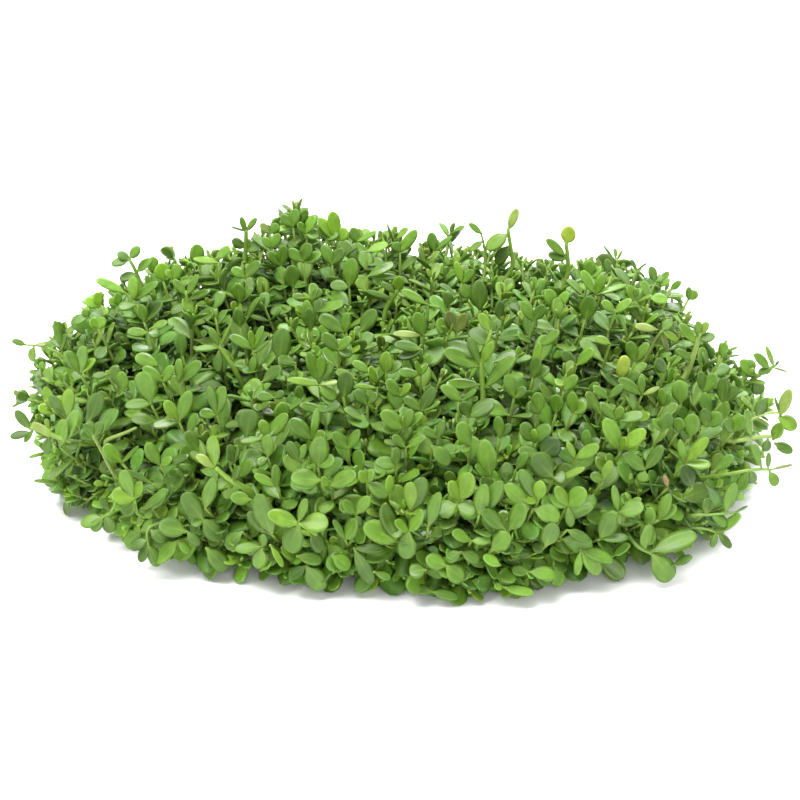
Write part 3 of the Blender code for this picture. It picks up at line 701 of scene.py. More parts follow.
# Leaves round the end of one stem: its pixel, then each leaf's tip, width, reach to the front and colour
ROSETTES = [
    # Front, left part
    *read_rosettes("""
122 463: 103 446 1.8 0.4 bright, 138 446 0.6 0.2 fresh
160 466: 146 443 1.45 0.5 bright, 172 458 1 0.3 bright, 190 456 1 0.2 grown
199 452: 185 432 1.6 0.4 fresh
234 464: 229 445 1.3 0.2 grown
262 439: 240 441 0.9 0.3 bright, 274 430 1.2 -0.3 fresh
268 458: 268 435 1.5 0.2 bright, 256 464 1.1 0.5 fresh
277 487: 254 475 1.1 0.4 bright, 274 464 1.1 0.3 bright
299 462: 288 441 1.3 0.3 fresh, 305 445 0.9 0.2 bright
318 467: 320 437 2.1 0.3 bright, 334 458 1.6 0.4 bright
321 481: 291 477 2.1 0.6 bright, 334 492 1.5 0.4 fresh
251 500: 230 498 1.5 0.6 bright
205 508: 214 477 1.5 0.2 bright
272 535: 258 496 2.2 0.3 fresh, 248 512 1.5 -0.4 grown
152 510: 165 489 1.2 0.3 fresh, 174 486 1.1 -0.3 grown, 146 518 1 0.4 bright
203 520: 183 494 2.1 0.5 fresh, 222 539 2.2 0.2 grown, 191 524 1.3 0.5 fresh
187 532: 159 525 2.3 0.5 fresh, 200 545 1.2 0.2 fresh
242 532: 226 548 1.8 0.2 grown
262 547: 235 548 1.3 0.5 bright, 258 570 1.6 0.3 bright, 264 534 1.1 0.2 fresh
270 545: 284 567 0.8 0.4 lime
141 532: 125 546 1.8 0.3 fresh, 152 520 1 0.3 bright
178 541: 154 562 1.8 0.3 bright, 190 553 1 0.1 bright
206 548: 228 570 2 0.1 grown
297 556: 322 560 1.5 0.2 fresh
306 566: 323 589 2.1 0.2 fresh, 290 578 1.3 0.2 old
153 484: 126 471 0.8 0.3 grown
"""),
    # Front, middle part
    *read_rosettes("""
330 486: 357 474 1.8 0.5 bright, 321 478 1 0.6 lime
367 483: 359 471 1.1 0.5 lime, 372 470 1.2 0.3 bright, 388 497 1.7 0.4 fresh
396 466: 376 461 1.5 0.3 fresh, 396 448 1.2 0.1 fresh
390 494: 389 475 1.1 0.3 lime
356 515: 343 501 1.3 0.4 fresh, 369 497 1.3 0.2 bright, 360 526 0.9 0.4 grown
397 541: 364 526 2.5 0.7 bright, 382 504 2 -0.8 grown
345 539: 357 520 1.9 0.5 fresh, 333 520 0.8 0.2 fresh
410 512: 411 482 1.6 0.5 lime, 424 478 2.1 -0.5 grown
409 532: 421 513 1.5 0.5 bright, 394 521 1.2 0.7 bright, 403 559 2.4 0.4 fresh
428 528: 438 494 1.4 0.2 fresh
432 446: 449 465 1.7 0.4 fresh
459 500: 473 473 2.2 0.5 lime, 448 481 1.4 0.7 lime
457 505: 438 513 2.1 0.7 bright, 476 512 1.9 0.7 bright
479 516: 484 486 1.7 0.5 bright, 503 481 1.7 0.1 fresh
490 476: 485 439 2.1 0.3 bright, 474 466 1.2 0.6 fresh
506 484: 507 464 1.5 0.3 grown
516 470: 527 453 1.1 0.3 fresh
553 478: 532 455 2.5 0.5 grown, 566 478 1.6 0.3 fresh
538 501: 541 480 1.4 0.6 lime, 523 500 1 0.7 lime, 520 470 1.5 -0.5 fresh
528 508: 507 485 1.8 0.4 bright
509 531: 525 505 2.1 0.4 fresh
533 509: 560 518 2.2 0.6 bright
505 530: 481 510 1.6 0.5 fresh
491 551: 509 534 2.1 0.5 bright
471 541: 453 532 1.4 0.6 bright, 490 540 1 0.5 bright
545 547: 554 523 1.9 0.4 fresh, 532 548 1.5 0.3 grown
461 552: 480 560 1.4 0.3 fresh, 446 560 1.3 0.3 fresh
446 566: 463 580 2.1 0.2 fresh, 426 558 1.8 0.2 fresh
426 570: 409 572 1.8 0.3 fresh
332 556: 351 567 1.9 0.2 fresh
354 548: 383 548 1.2 0.3 grown, 372 583 1.6 0.1 grown
374 572: 391 578 1 0.2 fresh
432 592: 459 597 1.2 0.1 fresh, 412 588 1.2 0.1 grown
503 587: 534 593 1.2 0.1 bright, 494 586 1 0.3 bright
529 572: 555 574 1.5 0.2 bright, 512 570 1.4 0.3 fresh
500 565: 484 556 1.3 0.4 bright
"""),
    # Front, right part
    *read_rosettes("""
621 451: 606 420 2.1 0.3 bright, 644 430 1.6 0.6 lime, 626 437 0.9 0.7 lime
645 470: 625 454 1.5 0.4 fresh, 662 446 1.4 0.1 grown, 641 482 1.4 0.4 bright
575 459: 600 446 1.4 0.4 bright, 568 443 0.8 0.4 lime
560 479: 585 468 0.9 0.4 lime
568 506: 557 488 1.4 0.6 lime, 585 490 2.1 0.5 bright, 571 527 1.1 0.3 bright
603 480: 611 461 1.1 0.3 lime, 590 476 1.3 0.3 fresh
618 512: 614 486 0.9 0.4 bright, 644 507 2.1 0.7 bright, 609 518 1 0.6 lime
659 520: 669 495 1.3 0.3 bright, 675 506 1.4 0.3 bright
648 527: 651 509 1.3 0.6 bright
641 524: 653 544 2 0.5 bright
600 539: 612 514 2.1 0.4 fresh, 628 536 1.2 0.4 fresh
567 530: 590 541 1.2 0.4 grown
581 550: 614 560 1.6 0.3 fresh, 576 577 0.9 0.2 bright, 602 574 1.8 0.2 bright
540 578: 556 573 1.4 0.1 bright
613 556: 630 544 1.1 0.4 fresh
684 464: 711 465 1.2 0.6 lime, 708 438 1.3 0.3 lime, 680 441 0.9 0.3 bright
692 488: 684 467 1.9 0.1 old
727 505: 738 479 1.4 0.2 bright
716 470: 734 456 1.4 0.3 fresh
"""),
    # Upper right
    *read_rosettes("""
681 404: 679 381 1.8 0.3 bright
635 362: 629 341 1.4 0.3 bright, 647 343 1.3 0.2 bright
610 344: 596 338 1.2 0.4 lime
615 313: 603 301 1.3 0.2 bright, 631 299 1.2 0.2 bright
650 298: 640 282 1.6 0.2 bright, 668 300 1.5 0.2 bright
589 278: 590 261 1.5 0.1 bright, 601 268 1.3 0.1 bright
607 274: 607 259 1.1 0 fresh
637 270: 630 260 0.7 0 grown, 647 263 0.3 0 grown
655 282: 651 267 1.2 0 fresh, 663 277 1 0 fresh
671 290: 681 281 0.9 0 fresh
688 300: 697 291 1.2 0 bright, 689 287 0.8 0 fresh
722 358: 724 342 1.2 0.1 bright, 740 354 0.3 0 grown
"""),
    # Back and upper left
    *read_rosettes("""
198 264: 196 244 1.8 0.1 bright, 209 258 1.2 0.1 fresh
215 259: 231 248 1.5 0.1 bright
155 270: 152 257 1.3 0 bright
270 234: 260 224 1.2 0.1 olive, 278 224 1.3 0 fresh
337 241: 331 211 1.7 0 lime, 318 218 1.4 0.1 lime, 347 229 1.6 0.1 lime
366 252: 388 244 1.3 0.1 lime
357 242: 377 232 0.9 0.1 bright, 352 228 1.5 0 fresh
400 252: 417 230 1.4 0 bright, 394 243 1.3 0.1 fresh
434 251: 431 233 1.3 0 fresh, 452 236 0.8 0 fresh
293 288: 290 266 2.1 0.3 fresh
462 283: 468 298 1.6 0.4 bright, 456 262 1 0.1 lime, 474 270 1.2 0.2 fresh
127 294: 97 278 1.3 0.1 bright, 118 300 1.2 0.4 fresh
134 300: 133 277 1.5 0.2 lime, 145 321 1.3 0.5 bright, 158 282 1.3 0.1 fresh
240 303: 238 283 1.6 0.3 bright, 252 288 0.9 0.1 fresh
240 327: 238 309 1.5 0.3 fresh
245 278: 259 261 1.5 0.1 grown, 232 268 1.4 0 fresh
310 300: 292 296 1.1 0.4 fresh, 322 290 1.2 0.1 grown
99 307: 85 299 1.4 0.2 lime, 97 292 1.2 0.1 lime
119 305: 108 300 1.2 0.3 bright, 116 293 1.2 0.1 bright
137 305: 118 306 1.4 0.4 fresh
88 317: 72 322 1.4 0.2 fresh, 84 309 1.1 0.1 bright
98 328: 90 319 1.3 0.2 bright, 105 318 1.2 0.2 bright
144 322: 141 305 1.4 0.3 bright
150 329: 167 322 1.2 0.3 bright
163 281: 161 263 1.9 0.1 lime
173 280: 180 264 1.5 0.1 bright, 166 270 1 0 bright
218 263: 193 258 1 0.2 lime
293 227: 281 215 1.3 0.1 grown, 296 209 1.5 0 fresh, 273 231 0.9 0.3 bright
306 234: 314 216 1.4 0 bright, 320 235 1.6 0.3 fresh, 297 223 1.2 0.2 fresh
326 240: 319 225 1.3 0 grown, 338 233 1.2 0.1 fresh
272 248: 262 238 1.2 0.1 fresh, 279 234 1.3 0 bright
668 488: 664 475 0.6 0.4 tan
303 262: 309 244 1.8 0.2 grown, 287 250 1.5 0.2 fresh, 322 254 1.5 0.2 fresh
332 264: 323 246 1.5 0.2 fresh, 343 249 1.5 0.1 grown
281 266: 268 252 1.3 0.2 grown, 284 245 1.4 0.1 grown
"""),
    # Middle, left part
    *read_rosettes("""
148 333: 127 332 1.3 0.4 bright, 160 334 1.3 0.2 fresh
182 356: 180 333 1.5 0.3 fresh
159 366: 136 356 1.8 0.5 bright
163 382: 144 367 1.3 0.4 bright, 173 366 1.3 0.3 bright
151 404: 143 372 2.6 0.5 bright, 125 405 1.3 0.6 fresh
179 382: 179 359 1.2 0.3 bright, 201 362 1.7 0.2 fresh
124 391: 122 372 1.6 0.4 bright, 113 366 1.3 -0.2 fresh, 132 399 0.8 0.4 grown
108 375: 93 376 0.9 0.4 fresh, 118 366 1 0.1 fresh
80 374: 94 359 1.2 0.4 lime, 67 351 1.3 0.2 bright, 85 345 1.5 -0.1 bright
90 420: 101 393 2.1 0.2 grown, 91 438 1.4 0.4 fresh
67 417: 70 389 1.6 0.2 lime, 50 396 1.2 0.1 fresh
60 447: 64 420 1.8 0.5 bright, 79 411 1.9 0.3 bright
179 422: 165 401 1.3 0.4 lime, 190 391 1.6 0.2 bright, 152 425 1.2 0.5 fresh
253 350: 231 335 1.3 0.3 bright, 264 326 1 0.1 bright, 250 330 0.8 0.1 lime
255 353: 267 341 0.6 0.1 fresh, 252 373 1 0.5 bright
279 361: 284 328 2.2 0.2 fresh
295 363: 278 359 1.4 0.5 fresh
262 382: 282 368 1.5 0.3 grown
319 383: 307 352 1.4 0.3 bright, 322 355 1.1 0.2 bright, 333 362 1.5 0.1 fresh
319 385: 287 379 1 0.5 lime, 338 382 0.6 0.4 pale, 336 399 1.6 0.6 bright
344 397: 348 372 1.9 0.2 grown
217 415: 223 387 1.7 0.2 bright, 209 387 1 0.1 fresh, 199 414 1.3 0.5 fresh
246 437: 251 410 2.3 0.3 grown
275 398: 256 396 1.2 0.4 fresh, 284 392 1 0.1 grown
280 421: 283 403 1.8 0.4 bright
269 437: 261 421 1.2 0.4 lime, 288 414 1.6 0.2 bright
312 440: 291 420 1.9 0.5 fresh, 318 410 0.9 0.1 bright
348 449: 331 433 1.4 0.4 fresh, 360 430 1.2 0.2 fresh
324 412: 340 404 1 0.2 grown, 300 404 1.2 0.3 grown
301 399: 298 386 1 0.3 fresh
345 333: 319 317 1.9 0.4 fresh, 347 313 1.1 0.1 bright
338 351: 323 334 1.6 0.4 fresh, 350 337 1.2 0.2 bright, 352 354 1.4 0.4 fresh
311 331: 309 308 1.5 0.3 fresh
230 466: 236 446 1.3 0.1 grown
"""),
    # Middle, centre
    *read_rosettes("""
423 336: 416 313 1.7 0.4 bright, 393 333 0.9 0.4 pale, 445 329 0.9 0.2 fresh
422 350: 395 343 1.4 0.5 grown, 399 358 1.3 0.6 grown
386 373: 386 353 1.6 0.4 lime, 401 363 1.2 0.1 fresh
370 373: 353 362 1.2 0.4 bright
377 388: 355 386 0.6 0.4 lime
367 405: 356 390 1.4 0.4 fresh, 376 393 1.2 0.2 grown
400 397: 385 381 1.6 0.4 bright, 410 384 1 0.3 lime
421 375: 415 361 0.7 0.2 lime, 427 364 0.6 0.1 bright, 398 372 1.3 0.4 fresh
421 411: 404 398 1.2 0.4 fresh, 441 402 0.8 0.3 bright, 434 388 1.4 0 grown
403 429: 380 413 2 0.6 bright, 382 429 1.4 0.8 bright, 411 410 1.4 0.3 bright
407 427: 422 413 1.1 0.3 bright, 404 417 0.9 0.6 lime, 402 441 1.3 0.3 fresh
406 448: 426 437 0.9 0.4 bright, 392 436 1.1 0.3 fresh
438 439: 443 421 1 0.2 fresh, 424 428 1 0.3 fresh
462 401: 442 386 1.5 0.4 bright, 477 390 0.8 0.2 fresh
468 417: 493 402 2 0.1 grown, 463 402 1.3 0.4 grown
514 398: 507 376 1.3 0.4 bright, 526 388 1.3 0.1 grown
494 362: 517 353 1.5 0 grown
500 438: 498 416 1.2 0.4 bright, 511 424 1 0.2 fresh
471 447: 457 423 1.9 0.4 bright, 461 450 1.1 0.7 bright
456 333: 447 311 1.5 0.2 olive, 467 313 1.4 0.1 olive
349 287: 352 259 2 0.2 bright, 330 286 1.7 0.4 fresh
367 277: 393 263 1.4 0.1 fresh, 398 276 0.9 0.3 fresh
428 305: 401 291 1.3 0.4 bright, 441 308 0.4 0.2 lime
480 310: 479 282 2 0.3 fresh
360 332: 376 310 1.8 0.2 fresh
309 329: 306 302 1.4 0.3 bright
499 320: 500 301 1.3 0.1 grown
533 321: 523 302 1.5 0.3 bright, 545 305 1.3 0.1 fresh
556 309: 547 290 1.6 0.3 bright, 568 292 1.3 0.1 bright
585 319: 591 296 2 0.2 fresh
596 295: 582 271 1.6 0.3 bright, 603 274 1.2 0.1 bright, 626 283 0.8 0.1 bright
"""),
    # Middle, right part
    *read_rosettes("""
540 413: 537 392 1.5 0.3 bright, 528 403 1.2 0.5 fresh
556 414: 557 394 1.6 0.3 fresh
572 413: 573 392 1.3 0.4 bright, 586 403 1.7 0.2 bright
534 442: 520 424 1.7 0.5 fresh, 549 426 1.8 0.3 fresh, 534 430 0.9 0.6 lime
540 456: 559 441 2.3 0 old, 518 450 1.4 0.3 fresh
615 420: 601 404 1.2 0.4 bright, 623 407 1.1 0.2 bright, 644 416 1.4 0.4 bright
662 431: 669 413 1.6 0.2 fresh, 653 419 0.9 0.3 bright
678 432: 679 418 1.4 0.4 bright
690 438: 693 414 1.8 0.3 bright
664 406: 661 388 1 0.2 bright, 671 394 0.9 0.1 fresh
642 395: 660 388 0.7 0.3 pale, 641 376 1 0.1 bright, 619 379 1.5 0.3 fresh
608 399: 623 385 0.9 0.1 fresh, 593 387 1.1 0.2 fresh
533 378: 538 357 1.4 0.2 fresh, 549 368 1.2 0.1 fresh, 540 342 1 -0.2 lime
542 346: 560 331 1.3 0.1 bright
576 366: 594 349 1.3 0.1 bright, 561 352 1.5 0.4 grown
564 391: 576 376 1.3 0.2 bright
586 448: 586 431 1.2 0.3 fresh, 600 440 1.2 0.1 grown
665 372: 655 360 1.6 0.4 grown
703 392: 716 374 1.5 0.1 fresh, 700 372 1.3 0.1 grown
722 402: 737 386 1.5 0.1 fresh, 724 378 1.4 0 grown
706 426: 722 414 1.6 0.2 fresh, 704 408 1.4 0.2 fresh
733 432: 744 416 1.4 0.1 bright, 725 420 1.3 0.3 fresh
"""),
]

HOLLOWS = (  # pixel, radius in pixels, how far the tips sink there
    (145, 345, 50, 3.0 * MM),
    (185, 345, 40, 3.2 * MM),
    (212, 376, 50, 3.8 * MM),
    (115, 440, 56, 3.8 * MM),
    (160, 445, 44, 3.6 * MM),
    (255, 385, 34, 2.4 * MM),
    (375, 345, 34, 2.4 * MM),
    (434, 350, 24, 3.0 * MM),
    (335, 415, 44, 3.4 * MM),
    (400, 455, 30, 2.0 * MM),
    (455, 325, 30, 2.0 * MM),
    (598, 323, 34, 4.0 * MM),
    (520, 285, 24, 1.4 * MM),
    (240, 345, 30, 2.0 * MM),
    (560, 370, 44, 2.8 * MM),
    (580, 448, 46, 3.0 * MM),
    (230, 520, 34, 2.4 * MM),
    (330, 510, 34, 2.0 * MM),
    (470, 490, 40, 1.4 * MM),
    (700, 465, 36, 2.6 * MM),
    (660, 415, 24, 2.2 * MM),
)
CLEARINGS = (  # the same for the shoots round a portrait or a rosette, so that it can be seen
    *((*portrait.stems[0].points[-1], 30, 1.5 * MM) for portrait in PORTRAITS),
    *((x, y, 20, 0.8 * MM) for x, y, _ in ROSETTES),
)
BACK_OF_CROWN = 24 * MM

# The body's outline above and below in the photograph, read where it bends, without single sprigs
SKYLINE = np.array((
    (35, 350), (72, 318), (95, 284), (120, 264), (235, 250), (262, 228), (290, 210), (318, 213),
    (345, 231), (430, 238), (462, 250), (500, 244), (525, 260), (610, 263), (675, 278), (692, 312),
    (755, 375), (766, 400),
))
FOOTLINE = np.array((
    (20, 440), (44, 468), (60, 496), (85, 526), (150, 560), (215, 564), (315, 587), (400, 582),
    (430, 595), (528, 594), (555, 576), (625, 560), (690, 552), (740, 524), (770, 487), (786, 466),
))
SKY_MARGIN = 5
FOOT_MARGIN = 8
MOST_OUTSIDE = 25  # pixels

LOWEST_FOOT = 0.8 * MM
LOWEST_BEND = 0.9 * MM
LOW_SHOOT = 5.5 * MM
# Painted light: the tint of leaves at the skyline and near the floor is made brighter, for the white ground
# behind them.
PAINTED_BACKLIGHT = 1.3  # leaves at the skyline and near the floor are brighter, with white ground behind them
SKY_BAND = 55  # pixels below the skyline in which they are
HOLLOW_SHADE = 0.13  # how much darker the leaves are, for each millimetre of a hollow

ROSETTE_OUT = 0.6 * MM
ROSETTE_STEM = 7 * MM
TALL_ROSETTE = 9 * MM  # above this height, more of the stem and more leaves below the rosette can be seen
TALL_ROSETTE_STEM = 11 * MM
BLADE_CURL = (-0.06, 0.14)  # of the leaf's length
BLADE_CUP = (0.05, 0.28)  # of its half width
BLADE_FULLNESS = (0.44, 0.68)


def smooth_path(points):
    """A finer path through the points."""
    for _ in range(2):
        middles = (points[1:] + points[:-1]) / 2
        rounded = np.empty((2 * len(points) - 1, 3))
        rounded[0::2] = points
        rounded[1::2] = middles
        rounded[2:-1:2] = rounded[2:-1:2] * 0.5 + (rounded[1:-2:2] + rounded[3::2]) * 0.25
        points = rounded
    return points


def root_below(place, inward=0.72):
    """Where a stem that ends at a place comes out of the root mat."""
    return np.array((place[0] * inward, place[1] * inward, 1.3 * MM))


def draw_stalk(foliage, path, radius, colour):
    """A stem along a path, darker and thicker at its foot."""
    path = smooth_path(np.array(path))
    share = np.linspace(0, 1, len(path))[:, None]
    tints = (colour * 0.75 + STEM_FOOT * 0.25) * (1 - share) + colour * share
    foliage.stem(path, radius * MM * (1.15 - 0.4 * share[:, 0]), tints)


def draw_blade(foliage, rng, base, tip, width, tint):
    """A leaf from its base to its tip, with its upper side to the light and the camera."""
    tip[2] = max(tip[2], 0.3 * MM)
    length = np.linalg.norm(tip - base)
    outward = (tip - base) / length
    facing = UP * rng.uniform(0.4, 0.8) - VIEW_IN * 0.8 + VIEW_RIGHT * rng.uniform(-0.35, 0.35)
    above = unit(facing - outward * facing.dot(outward))
    across = np.cross(outward, above)
    form = [rng.uniform(*limits) for limits in (BLADE_CURL, BLADE_CUP, BLADE_FULLNESS)]
    stalk = tint * 0.5 + STEM_TIP * 0.5
    foliage.leaves.append(Leaf(base, outward, across, above, length, width * MM, *form, tint, stalk, FINE))


def draw_portrait(foliage, rng, portrait, seat):
    """Stems and leaves at their pixels. The first stem starts at its seat, the others in the mass behind."""
    for stalk in portrait.stems:
        path = [at_pixel(x, y, portrait.depth) for x, y in stalk.points]
        foot = path[0] + unit(root_below(path[0]) - path[0]) * 4 * MM
        if seat is not None and stalk is portrait.stems[0]:
            foot = np.array(seat)
        foot[2] = max(foot[2], LOWEST_FOOT)
        # Painted light: the stem's tint is made 1.1 times brighter, for light on and through its thin sides.
        draw_stalk(foliage, [foot, *path], stalk.radius, COLOURS[stalk.colour] * 1.1)
    for blade in portrait.blades:
        base = at_pixel(blade.x, blade.y, portrait.depth)
        tip = at_pixel(blade.tip_x, blade.tip_y, portrait.depth - blade.toward * MM)
        draw_blade(foliage, rng, base, tip, blade.width, COLOURS[blade.colour] * rng.uniform(0.92, 1.08))


def draw_rosette(foliage, rng, x, y, blades):
    """Leaves round the end of a stem that comes out of the mass."""
    depth = depth_at(x, y) - ROSETTE_OUT
    base = at_pixel(x, y, depth)
    base[2] = max(base[2], 0.6 * MM)
    tall = base[2] > TALL_ROSETTE
    foot = base + unit(root_below(base, 0.85) - base) * (TALL_ROSETTE_STEM if tall else ROSETTE_STEM)
    foot[2] = max(foot[2], LOWEST_FOOT)
    middle = (foot + base) / 2 + VIEW_IN * 0.5 * MM
    # Painted shade: the stem and the leaves below the rosette's own are given 0.85 of their tint, where they
    # go into the mass.
    grow(foliage, rng, (foot, middle, base), 6 if tall else 4, stem=0.22 * MM, first_pair=2, tone_and_painted_light=0.85)
    # Painted light: leaves at the skyline and near the floor get a brighter tint.
    shines = y - np.interp(x, *SKYLINE.T) < SKY_BAND or base[2] < LOW_SHOOT
    glow = PAINTED_BACKLIGHT if shines else 1.0
    for tip_x, tip_y, width, toward, colour in blades:
        tip = at_pixel(tip_x, tip_y, depth - toward * MM)
        draw_blade(foliage, rng, base.copy(), tip, width, COLOURS[colour] * glow * rng.uniform(0.92, 1.16))


# Inner shoots, which stand for the cushion
INNER_SHOOTS = 700
INNER_PIECES = 6
INNER_DEPTH = 9 * MM
INNER_SIZE = (0.66, 1.12)
INNER_STEM = 0.24 * MM
TUFT_SIZE = 7 * MM
TUFT_HEIGHT = 1.6 * MM
RAGGED = (-1.1 * MM, 0.7 * MM)  # how far the tips stand out of the canopy: mean and spread
MOST_RAGGED = 0.9 * MM
LOWEST_TIP = 1.1 * MM
LYING_SHOOT = 3.0 * MM  # tips below this height don't point down
LIME_CHANCE = 0.12

# Low shoots between the root mat and the rim, under those that overhang the back
LOW_BACK_SHOOTS = 36
LOW_BACK_FROM, LOW_BACK_TO = 18, 172  # azimuths in degrees
LOW_BACK_REACH = (0.74, 0.88)  # of the rim's radius
LOW_BACK_HEIGHT = (2.6 * MM, 5.4 * MM)


def sunk(tip, places):
    """How far a tip sinks in at these places of the photograph."""
    x, y = pixel_of(tip)
    depth = 0.0
    for place_x, place_y, radius, deep in places:
        off = math.hypot(x - place_x, y - place_y) / radius
        depth = max(depth, deep * max(0.0, 1 - off**2))
    return depth if tip[1] < BACK_OF_CROWN else 0.0


def inside_outline(tip):
    """Lowers a tip that stands above the photograph's skyline, and draws in one that hangs out below."""
    x, y = pixel_of(tip)
    over = np.interp(x, *SKYLINE.T) + SKY_MARGIN - y
    if over > 0:
        return tip - UP * min(over, MOST_OUTSIDE) / 7.5 * MM
    under = min(y - np.interp(x, *FOOTLINE.T) + FOOT_MARGIN, MOST_OUTSIDE)
    if under > 0:
        inward = unit(np.array((-tip[0], -tip[1], 0)))
        return tip + (UP + inward) * under / 12 * MM
    return tip


def inner_shoot(foliage, rng, azimuth, share):
    """A shoot that ends in the canopy. It comes from the root mat, and turns up to the light at its tip."""
    normal = np.array(canopy_normal(azimuth, share))
    tip = np.array(canopy_point(azimuth, share))
    tuft = noise.noise(Vector(tip) / TUFT_SIZE) * TUFT_HEIGHT
    ragged = rng.gauss(*RAGGED) + tuft
    hollow = sunk(tip, HOLLOWS)
    tip = inside_outline(tip + normal * (min(ragged, MOST_RAGGED) - max(hollow, sunk(tip, CLEARINGS))))
    tip[2] = max(tip[2], LOWEST_TIP)
    root = root_below(tip)
    grown = unit(tip - root)
    lean = unit(grown * 0.5 + normal * 0.4 + UP * 0.35 + np.array([rng.gauss(0, 0.32) for _ in range(3)]))
    if tip[2] < LYING_SHOOT:
        lean[2] = max(lean[2], 0.05)
        lean = unit(lean)
    start = tip - unit(grown + UP * 0.1) * INNER_DEPTH
    start[2] = max(start[2], LOWEST_BEND)
    bend = tip - lean * 0.5 * INNER_DEPTH
    bend[2] = max(bend[2], LOWEST_BEND)
    # Painted shade darkens the tint of shoots in hollows, and painted light brightens those near the floor.
    tone_and_painted_light = rng.uniform(0.78, 1.15) * (1 - HOLLOW_SHADE * hollow / MM)
    if tip[2] < LOW_SHOOT:
        tone_and_painted_light *= PAINTED_BACKLIGHT
    lime = rng.uniform(0.3, 0.8) if rng.random() < LIME_CHANCE and hollow < 1 * MM else 0.0
    size = rng.uniform(*INNER_SIZE) * (1 - 0.12 * min(1, max(0, tip[1] / BACK_OF_CROWN)))
    path = (start, bend, tip)
    grow(foliage, rng, path, 5, stem=INNER_STEM, size=size, spacing=0.7 + 0.3 * size, tone_and_painted_light=tone_and_painted_light, lime=lime)


def low_back_shoot(pieces, rng, azimuth):
    """A low shoot at the back, which comes out of the edge of the root mat."""
    radius = rim_radius(azimuth) * rng.uniform(*LOW_BACK_REACH)
    tip = np.array(direction(azimuth, 0)) * radius + UP * rng.uniform(*LOW_BACK_HEIGHT)
    start = root_below(tip)
    path = (start, (start + tip) / 2 - UP * 0.4 * MM, tip)
    look = {"size": rng.uniform(0.95, 1.15), "tone_and_painted_light": rng.uniform(0.85, 1.1)}
    grow(pieces[sector(tip)], rng, path, 5, stem=INNER_STEM, first_pair=1, template=PLAIN, **look)


def sector(place):
    """Number of the piece that a place belongs to."""
    return int(math.degrees(math.atan2(place[1], place[0])) % 360 / 360 * INNER_PIECES)


def make_inner_shoots(material):
    rng = random.Random(23)
    pieces = [Foliage() for _ in range(INNER_PIECES)]
    for portrait in PORTRAITS:
        if portrait.name == "loose":
            tip = at_pixel(*portrait.stems[0].points[-1], portrait.depth)
            draw_portrait(pieces[sector(tip)], rng, portrait, None)
    for x, y, blades in ROSETTES:
        draw_rosette(pieces[sector(at_pixel(x, y, depth_at(x, y)))], rng, x, y, blades)
    for k in range(INNER_SHOOTS):
        azimuth = (k * GOLDEN_TURN + rng.uniform(-2, 2)) % 360
        share = min(0.995, max(0.0005, (k + rng.uniform(0.1, 0.9)) / INNER_SHOOTS))
        inner_shoot(pieces[int(azimuth / 360 * INNER_PIECES)], rng, azimuth, share)
    rng = random.Random(57)
    for k in range(LOW_BACK_SHOOTS):
        share = (k + rng.random()) / LOW_BACK_SHOOTS
        low_back_shoot(pieces, rng, LOW_BACK_FROM + (LOW_BACK_TO - LOW_BACK_FROM) * share)
    for number, piece in enumerate(pieces, 1):
        obj = piece.to_object(f"inner_shoots_{number}", material)
        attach(obj, "root")
        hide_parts("leaf_cushion")


def make_cad_shoots(material):
    """The single shoots, grown on the curves that the CAD source gives them."""
    rng = random.Random(41)
    portraits = {portrait.name: portrait for portrait in PORTRAITS}
    for number, plan in enumerate(plan_shoots()):
        lean = direction(plan.lean_azimuth, plan.lean_elevation)
        rise = (canopy_normal(plan.azimuth, plan.share) + lean * 0.6).normalized()
        seat = on_cushion(plan.azimuth, plan.share, -DIMPLE) + rise * (GAP + STEM_HALF_WIDTH)
        bend = seat + rise * (0.45 * plan.stem)
        end = bend + lean * (0.55 * plan.stem)
        start = seat - rise * 3.5 * MM
        start.z = max(start.z, 1 * MM)
        tip = end - lean * 0.5 * MM
        named = number < len(NAMED_SHOOTS)
        young = named or number % 4 == 0
        foliage = Foliage()
        portrait = portraits.get(plan.name)
        if portrait:
            draw_portrait(foliage, rng, portrait, seat)
            tip = seat + rise * 1.2 * MM
            bend = (start + tip) / 2
        path = (np.array(start), np.array(bend), np.array(tip))
        pairs = 3 if portrait else 5
        lime = 0.0 if portrait else 0.25 if young else 0.05
        spacing = 1.25 if named else 1.0
        grow(foliage, rng, path, pairs, stem=0.3 * MM, spacing=spacing, lime=lime, template=FINE)
        obj = foliage.to_object("grown_" + plan.name, material)
        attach(obj, "root")
        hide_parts(plan.name)


# Root mat
ROOT_SPOKES = 360
ROOT_TOP_RINGS = 22
ROOT_UNDER_RINGS = 46
ROOT_MIDDLE = 0.02  # of the radius, for the innermost rings
ROOT_TOP = 1.9 * MM
ROOT_LUMP = 0.9 * MM
ROOT_PIT = 0.30 * MM
ROOT_EDGE_DROP = 0.9 * MM
ROOT_EDGE_WAVE = 0.9 * MM
FIBRES = 640
FIBRE_RADIUS = (0.05 * MM, 0.11 * MM)
FIBRE_LENGTH = (7 * MM, 16 * MM)
FIBRE_POINTS = 9
FIBRE_WAVE = 0.25 * MM
FIBRE_BEND = 0.32  # in radians for each step
FIBRE_OUT = 1.2 * MM  # how far one runs out over the felt's edge before it turns back
TURN_BACK = math.radians(70)
CREEPERS = 70
CREEPER_RADIUS = 0.3 * MM
ROOT_TAN = np.array((0.205, 0.160, 0.070))
ROOT_BROWN = np.array((0.085, 0.060, 0.028))
CREEPER_GREEN = np.array((0.150, 0.185, 0.060))


def felt_height(x, y, scale, seed):
    """Smooth noise from -1 to 1 over the plan."""
    return noise.fractal(Vector((x / scale, y / scale, seed)), 0.6, 2.1, 4) * 0.8


